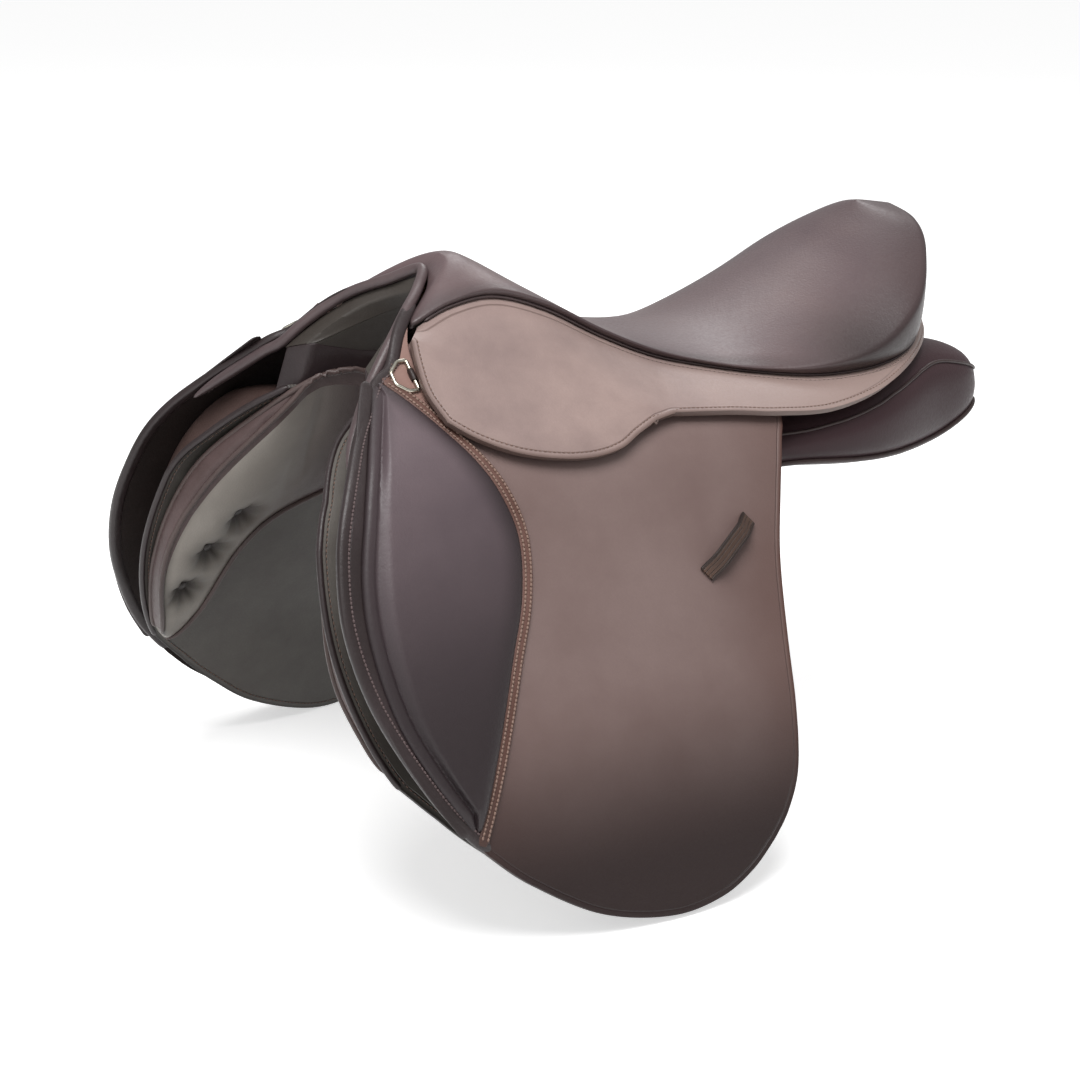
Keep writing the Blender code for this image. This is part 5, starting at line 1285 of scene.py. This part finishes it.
def swelled(mesh, free, cap):
    """The cushion blown up a little by a cloth simulation where its weight in free lets it move."""
    obj = put_in_scene("swelling", mesh.copy())
    group = obj.vertex_groups.new(name="held")
    for index, weight in enumerate(free):
        group.add([index], 1.0 - weight, 'REPLACE')
    cloth = obj.modifiers.new("cloth", 'CLOTH')
    settings = cloth.settings
    settings.vertex_group_mass = "held"
    settings.quality = 4
    settings.mass = 0.2
    settings.tension_stiffness = 12
    settings.compression_stiffness = 12
    settings.bending_stiffness = 0.6
    settings.use_pressure = True
    settings.uniform_pressure_force = 4
    settings.effector_weights.gravity = 0
    cloth.point_cache.frame_start, cloth.point_cache.frame_end = 1, CLOTH_FRAMES
    scene = bpy.context.scene
    for number in range(1, CLOTH_FRAMES + 1):
        scene.frame_set(number)
    moved = obj.evaluated_get(bpy.context.evaluated_depsgraph_get()).to_mesh()
    places = [vertex.co.copy() for vertex in moved.vertices]
    scene.frame_set(1)
    bpy.data.objects.remove(obj)
    for vertex, place, weight in zip(mesh.vertices, places, free):
        step = (place - vertex.co) * weight
        if step.length > cap:
            step = step.normalized() * cap
        vertex.co += step


# The pale face colour is a painted sheen on the foremost part of each leg; further back the panel turns dark
# brown. Painted shade darkens it beside the welts and around the tufts.
panel_leather = saddle_leather("soft_panel_leather", "#d2cbc2", "#aea69e", 0.38, "#2b2522", mottle=0.12,
                               grooves_and_shade=((0, 0.0, 0.0090, 0.50), (1, 0.0, 0.0300, 1.0)),
                               painted_shade=(0, -0.295, -0.185, "#453437"), grain_mm=1.4, spec=0.14)
gusset_leather = saddle_leather("panel_gusset_leather", "#635150", "#4c3c3a", 0.42)
# Painted shade: the welts turn darker towards the rear
panel_piping = saddle_leather("panel_piping_leather", "#5e4f4c", "#4b3e3c", 0.42,
                              painted_shade=(0, -0.215, -0.02, "#3b2d2c"))
button_leather = saddle_leather("covered_button_leather", "#3a3330", "#2d2725", 0.45)


def skin_of(mesh):
    """Tree of a mesh's faces, to find the nearest place on them."""
    return BVHTree.FromPolygons([v.co for v in mesh.vertices], [tuple(p.vertices) for p in mesh.polygons])


def make_panels():
    """Both panels with their seams, welts and buttons."""
    stations = PANEL_BODY + PANEL_LEG
    rings = [panel_ring(station) for station in stations]
    around, last = len(rings[0]), len(rings) - 1

    def cage_place(u, v):
        return rings[round(v * last)][round(u * around) % around]

    cage = closed_tube("panel_cage", cage_place, around, last)
    panel = new_piece("panel_cushion_left", cage, panel_leather)
    panel.data.materials.append(gusset_leather)
    for face in panel.data.polygons:
        row, column = divmod(face.index, around)
        if len(PANEL_BODY) - 1 <= row < last and column < 2:
            face.material_index = 1
    subdivided(panel, 3)
    inward = Vector((0.0, 1.0, -0.35)).normalized()
    free = [smooth_step((vertex.normal.dot(inward) - 0.15) / 0.5) for vertex in panel.data.vertices]
    swelled(panel.data, free, SWELL_LIMIT)
    subdivided(panel, 1)
    mesh = panel.data
    skin = skin_of(mesh)
    buttons = []
    for number, share in TUFTS:
        first = len(PANEL_BODY) + int(number)
        middle, edge = (rings[first][k].lerp(rings[first + 1][k], number % 1) for k in (7, 6))
        spot, normal, _, _ = skin.find_nearest(middle.lerp(edge, share))
        side_way = normal.cross(Vector((0, 0, 1))).normalized()
        up_way = side_way.cross(normal)
        phase = 0.7 * number
        for vertex in mesh.vertices:
            away = vertex.co - spot
            size = away.length
            if size < TUFT_REACH * 2.6 and vertex.normal.dot(normal) > 0.1:
                turn = atan2(away.dot(up_way), away.dot(side_way))
                fold = FOLD_HEIGHT * cos(FOLD_COUNT * turn + phase)
                fold *= exp(-((size - FOLD_AWAY) / FOLD_BREADTH) ** 2)
                vertex.co -= normal * (TUFT_DEPTH * exp(-(size / TUFT_REACH) ** 2) + fold)
        buttons.append((spot - normal * (TUFT_DEPTH - 0.0006), normal))
    mesh.update()

    skin = skin_of(mesh)
    leg = len(PANEL_BODY)
    seams = [[ring[0] for ring in rings], [ring[6] for ring in rings], [ring[2] for ring in rings[leg:]],
             [ring[4].lerp(ring[3], 0.06) for ring in rings[:leg - 2]]]
    lines = [surface_path(skin, walked(seam, 260, fine=10)) for seam in seams]
    welts = []
    for line, (radius, lift) in zip(lines, WELTS):
        outs = [skin.find_nearest(place)[1] for place in line]
        centres = [place + out * lift for place, out in zip(line, outs)]
        for _ in range(3):
            inner = [(a + b * 2 + c) / 4 for a, b, c in zip(centres, centres[1:], centres[2:])]
            centres = [centres[0], *inner, centres[-1]]
        welts.append(roll_mesh("panel_welt", centres, outs, radius, radius, sides=10, square=2.0))
    welt = new_piece("panel_welts_left", joined(welts, "panel_welts_left"), panel_piping)
    # Distances from the welts and from the buttons, for the painted shade beside the welts and around the
    # tufts
    mark_rim(mesh, [lines, [[spot, spot + normal * 0.001] for spot, normal in buttons]])
    heads = []
    for spot, normal in buttons:
        turn = normal.to_track_quat('Z', 'Y').to_matrix().to_4x4()
        turn.translation = spot

        def head_place(u, v):
            reach = BUTTON_RADIUS * sin(pi * v)
            height = BUTTON_RADIUS * BUTTON_FLATNESS * cos(pi * v)
            return turn @ Vector((reach * cos(2 * pi * u), reach * sin(2 * pi * u), height))

        heads.append(grid_mesh("button", head_place, 20, 12, around=True))
    button = new_piece("panel_buttons_left", joined(heads, "panel_buttons_left", MERGE), button_leather)
    on_both(panel, ["panel"])
    on_both(welt)
    on_both(button)


make_panels()

# The head: a rolled welt finishes the front edge of the skirts and flaps and runs over the pommel.
# Behind it a leather facing closes the head, and a lining covers the tree's underside along the channel.
WELT_RADIUS = 0.0040
WELT_PATH = ((-0.1797, 0.0000, 0.1755), (-0.1942, 0.0200, 0.1660), (-0.2142, 0.0380, 0.1560),
             (-0.2292, 0.0490, 0.1450), (-0.2442, 0.0585, 0.1320), (-0.2582, 0.0665, 0.1180),
             (-0.2682, 0.0755, 0.1105), (-0.2805, 0.0870, 0.0995), (-0.2945, 0.1015, 0.0860),
             (-0.3060, 0.1160, 0.0725))

FACING_OUTER = ((-0.2564, 0.0629, 0.1144), (-0.2410, 0.0565, 0.1283), (-0.2266, 0.0480, 0.1405),
                (-0.2103, 0.0357, 0.1522), (-0.1913, 0.0186, 0.1616), (-0.1792, 0.0000, 0.1700))
FACING_INNER = ((-0.2500, 0.0440, 0.1200), (-0.2400, 0.0400, 0.1280), (-0.2280, 0.0350, 0.1370),
                (-0.2120, 0.0270, 0.1470), (-0.1950, 0.0140, 0.1550), (-0.1835, 0.0000, 0.1600))
# Each row holds x, half breadth and height of the lining's side edge, then x and height of its crown
LINING = (
    (-0.2440, 0.0400, 0.1210, -0.1790, 0.1500),
    (-0.2250, 0.0385, 0.1160, -0.1700, 0.1455),
    (-0.2000, 0.0370, 0.1110, -0.1560, 0.1410),
    (-0.1600, 0.0370, 0.1080, -0.1300, 0.1330),
    (-0.1100, 0.0400, 0.0990, -0.1000, 0.1215),
    (-0.0600, 0.0430, 0.0880, -0.0600, 0.1030),
    (0.0000, 0.0450, 0.0790, 0.0000, 0.0838),
    (0.0600, 0.0460, 0.0785, 0.0600, 0.0848),
    (0.1200, 0.0470, 0.0835, 0.1200, 0.0920),
    (0.1800, 0.0470, 0.0905, 0.1800, 0.0980),
    (0.2250, 0.0440, 0.0900, 0.2250, 0.0960),
)
LINING_THICK, FACING_SHARE, THROAT_SHARE, THROAT_REACH = 0.0018, 0.6, 0.25, 0.34
THROAT_FRONT = ((-0.2564, -0.0610, 0.1150), (-0.2500, -0.0440, 0.1200), (-0.2440, -0.0400, 0.1210))

welt_leather = saddle_leather("rolled_welt_leather", "#5f5051", "#4b3e3f", 0.38, spec=0.5)
throat_leather = saddle_leather("panel_throat_leather", "#3d3233", "#332a2b", 0.45)
lining_leather = saddle_leather("channel_lining_leather", "#45403b", "#38322e", 0.5)


def lining_place(u, v):
    """Place on the left half of the channel lining, u to the rear and v from its side to the crown."""
    edge = spline([(row[0], row[1], row[2]) for row in LINING], u)
    crown = spline([(row[3], 0.0, row[4]) for row in LINING], u)
    q = 1 - v
    x = crown.x + (edge.x - crown.x) * q * q
    return Vector((x, -edge.y * q, crown.z - (crown.z - edge.z) * q * q))


facing_outer, facing_inner = even_curve(FACING_OUTER), even_curve(FACING_INNER)


def facing_place(u, v):
    """Place on the left half of the head's facing, u from its side to the crown, v from welt to lining."""
    outer, inner = facing_outer(u), facing_inner(u)
    if v < FACING_SHARE:
        spot = outer.lerp(inner, v / FACING_SHARE)
        return Vector((spot.x, -spot.y, spot.z))
    inner = Vector((inner.x, -inner.y, inner.z))
    return inner.lerp(lining_place(0.0, u), (v - FACING_SHARE) / 0.4)


def throat_place(u, v):
    """Place on the left wall of the throat, from the lining's side edge down behind the panel's top."""
    if u < THROAT_SHARE:
        edge = spline(THROAT_FRONT, u / THROAT_SHARE)
    else:
        edge = lining_place(THROAT_REACH * (u - THROAT_SHARE) / 0.75, 0.0)
    return edge + Vector((-0.006 * v, -0.010 * v, -0.036 * v))


def lined_sheet(name, place, columns, rows):
    """Sheet of soft leather made from its left half and welded along the centre line."""
    obj = new_piece(name, half_grid(name, place, columns, rows), lining_leather)
    close_halves(obj)
    with editing(obj.data) as work:
        bmesh.ops.recalc_face_normals(work, faces=work.faces)
    thicken(obj, LINING_THICK)
    settle(obj)
    smooth_faces(obj.data, SHARP_ANGLE)
    return obj


def make_head():
    """The pommel's roll with its stitches, the facing, the lining and the throats of the panels."""
    half = [Vector(p) for p in WELT_PATH]
    centres = walked([Vector((p.x, -p.y, p.z)) for p in reversed(half[1:])] + half, 240)
    outs = [Vector((0.2, 0.0, 1.0)).normalized()] * len(centres)
    mesh = roll_mesh("pommel_roll", centres, outs, WELT_RADIUS, WELT_RADIUS,
                     sides=18, square=2.0, taper=0.11)
    assign(new_piece("pommel_roll", mesh, welt_leather), ["pommel_welt"])
    back_row = [place + Vector((0.0018, 0, -WELT_RADIUS * 0.80)) for place in centres[8:-8]]
    seam = stitch_rows("pommel_roll_stitches", [back_row], dark_thread, 0.0036, 0.0027, 0.0009)
    assign(seam)
    facing = lined_sheet("head_facing_leather", facing_place, 60, 20)
    lining = lined_sheet("channel_lining", lining_place, 110, 24)
    assign(facing, ["head_facing"])
    assign(lining, ["gullet_lining"])
    throat = grid_mesh("panel_throat_left", throat_place, 32, 8)
    on_both(leather_sheet("panel_throat_left", throat, LINING_THICK, throat_leather))


make_head()

# The front rings: forged nickel silver wire bent to a flat sided D, held by a folded leather tab.
# The tab is stitched into the skirt's front corner, so the ring turns about its straight side.


def nickel_silver():
    """Polished nickel silver: pale warm white metal with faint clouds and hairline scratches."""
    material, tree, shader, spot = new_finish("polished_nickel_silver")
    clouds = add_node(tree, "ShaderNodeTexNoise", {"Vector": spot, "Scale": 300.0, "Detail": 5.0})
    tint = add_node(tree, "ShaderNodeMix", {0: clouds.outputs[0], 6: linear("#aaa596"), 7: linear("#ded9cc")},
                    data_type='RGBA')
    gloss = add_node(tree, "ShaderNodeMapRange", {0: clouds.outputs[0], 3: 0.16, 4: 0.34})
    bump = add_node(tree, "ShaderNodeBump", {"Height": clouds.outputs[0], "Distance": 0.00005})
    set_inputs(tree, shader, {"Base Color": tint.outputs[2], "Roughness": gloss.outputs[0],
                              "Normal": bump.outputs[0], "Metallic": 1.0})
    return material


RING_X, RING_S, RING_W = -0.2345, (0.0450, 0.0700), 0.0027
RING_REACH, RING_WIRE, RING_BEND, BEND_STEPS = 0.0155, 0.0014, 0.0022, 6


def bent_wire(name, flip):
    """Closed ring of round wire with six corners bent to a small radius."""
    middle, half = sum(RING_S) / 2, (RING_S[1] - RING_S[0]) / 2
    down = Vector((1, 0, 0)).cross(side_out(middle))
    corners = ((0, -half), (-RING_REACH * 0.45, -half), (-RING_REACH, -half * 0.35),
               (-RING_REACH, half * 0.45), (-RING_REACH * 0.5, half), (0, half))
    corners = [on_side(RING_X, middle, RING_W) + Vector((x, 0, 0)) + down * y for x, y in corners]
    path = []
    for i, corner in enumerate(corners):
        back, ahead = corners[i - 1], corners[(i + 1) % len(corners)]
        start = corner + (back - corner).normalized() * RING_BEND
        end = corner + (ahead - corner).normalized() * RING_BEND
        for k in range(BEND_STEPS + 1):
            f = k / BEND_STEPS
            path.append(start * (1 - f) ** 2 + corner * 2 * f * (1 - f) + end * f ** 2)
    curve = bpy.data.curves.new(name, 'CURVE')
    curve.dimensions = '3D'
    wire = curve.splines.new('POLY')
    wire.points.add(len(path) - 1)
    for point, place in zip(wire.points, path):
        point.co = (place.x, place.y * flip, place.z, 1.0)
    wire.use_cyclic_u = True
    curve.bevel_depth = RING_WIRE
    curve.bevel_resolution = 4
    maker = put_in_scene(name + "_path", curve)
    bpy.context.view_layer.update()
    mesh = bpy.data.meshes.new_from_object(maker.evaluated_get(bpy.context.evaluated_depsgraph_get()))
    bpy.data.objects.remove(maker)
    with editing(mesh) as work:
        bmesh.ops.remove_doubles(work, verts=work.verts, dist=MERGE / 2)
        bmesh.ops.recalc_face_normals(work, faces=work.faces)
    return new_piece(name, mesh, ring_metal)


ring_metal = nickel_silver()
for side, flip in SIDES:
    assign(bent_wire("ring_wire" + side, flip), ["d_ring" + side], "d_ring" + side)
    tab = softened("ring_tab" + side, "ring_tab_leather" + side, strap_leather)
    assign(tab, ["ring_tab" + side])

# The stage: a white floor under the lowest edge of the flaps, a soft key light above and a fill.
# The floor and the world are white to the camera and to gloss, and the floor keeps the soft shadow.
FLOOR_HEIGHT, FLOOR_SIZE = -0.2405, 6.0
# Each lamp's place, the width of its disk in metres and its power in watts
LAMPS = (("key", (-0.7, -0.9, 2.2), 1.6, 58.0), ("fill", (-2.2, -1.2, 0.9), 1.8, 9.0),
         ("rim", (1.2, 1.4, 1.8), 1.4, 16.0))
LAMP_AIM = Vector((-0.05, 0, 0.0))
FLOOR_GLOW, WORLD_LEVEL = 0.55, 0.42
CAMERA_PLACE, CAMERA_TURN, LENS_MM, FILM_MM = (-1.2425, -1.8184, 0.6287), (72.672, 0.0, -32.6285), 100.0, 36.0


def make_stage():
    """The floor, the world, the lamps and the camera."""
    mesh = bpy.data.meshes.new("floor")
    with editing(mesh) as work:
        bmesh.ops.create_grid(work, x_segments=1, y_segments=1, size=FLOOR_SIZE)
    mesh.transform(Matrix.Translation((0, 0, FLOOR_HEIGHT)))
    floor = put_in_scene("floor", mesh)
    material, tree, shader, _ = new_finish("matt_white_floor")
    rays = add_node(tree, "ShaderNodeLightPath")
    seen = add_node(tree, "ShaderNodeMath", operation='MAXIMUM',
                    inputs={0: rays.outputs["Is Camera Ray"], 1: rays.outputs["Is Glossy Ray"]})
    base = add_node(tree, "ShaderNodeMix", {0: seen.outputs[0], 6: linear("#8c8c8c"), 7: linear("#f2f2f2")},
                    data_type='RGBA')
    glow = add_node(tree, "ShaderNodeMath", {0: seen.outputs[0], 1: FLOOR_GLOW}, operation='MULTIPLY')
    set_inputs(tree, shader, {"Base Color": base.outputs[2], "Roughness": 0.9, "Emission Color": (1, 1, 1, 1),
                              "Emission Strength": glow.outputs[0]})
    mesh.materials.append(material)

    world = bpy.data.worlds.new("studio")
    bpy.context.scene.world = world
    world.use_nodes = True
    tree = world.node_tree
    rays = add_node(tree, "ShaderNodeLightPath")
    seen = add_node(tree, "ShaderNodeMath", operation='MAXIMUM',
                    inputs={0: rays.outputs["Is Camera Ray"], 1: rays.outputs["Is Transmission Ray"]})
    level = add_node(tree, "ShaderNodeMix", {0: seen.outputs[0], 2: WORLD_LEVEL, 3: 1.0})
    set_inputs(tree, tree.nodes["Background"], {"Color": (1, 1, 1, 1), "Strength": level.outputs[0]})

    for name, place, size, power in LAMPS:
        lamp = bpy.data.lights.new(name, 'AREA')
        lamp.shape = 'DISK'
        lamp.size = size
        lamp.energy = power
        obj = put_in_scene(name, lamp)
        obj.location = place
        obj.rotation_euler = (LAMP_AIM - Vector(place)).to_track_quat('-Z', 'Y').to_euler()
    lens = bpy.data.cameras.new("camera")
    lens.lens = LENS_MM
    lens.sensor_width = FILM_MM
    camera = put_in_scene("camera", lens)
    camera.location = CAMERA_PLACE
    camera.rotation_euler = [radians(turn) for turn in CAMERA_TURN]
    bpy.context.scene.camera = camera
    bpy.context.scene.view_settings.view_transform = 'Standard'


make_stage()
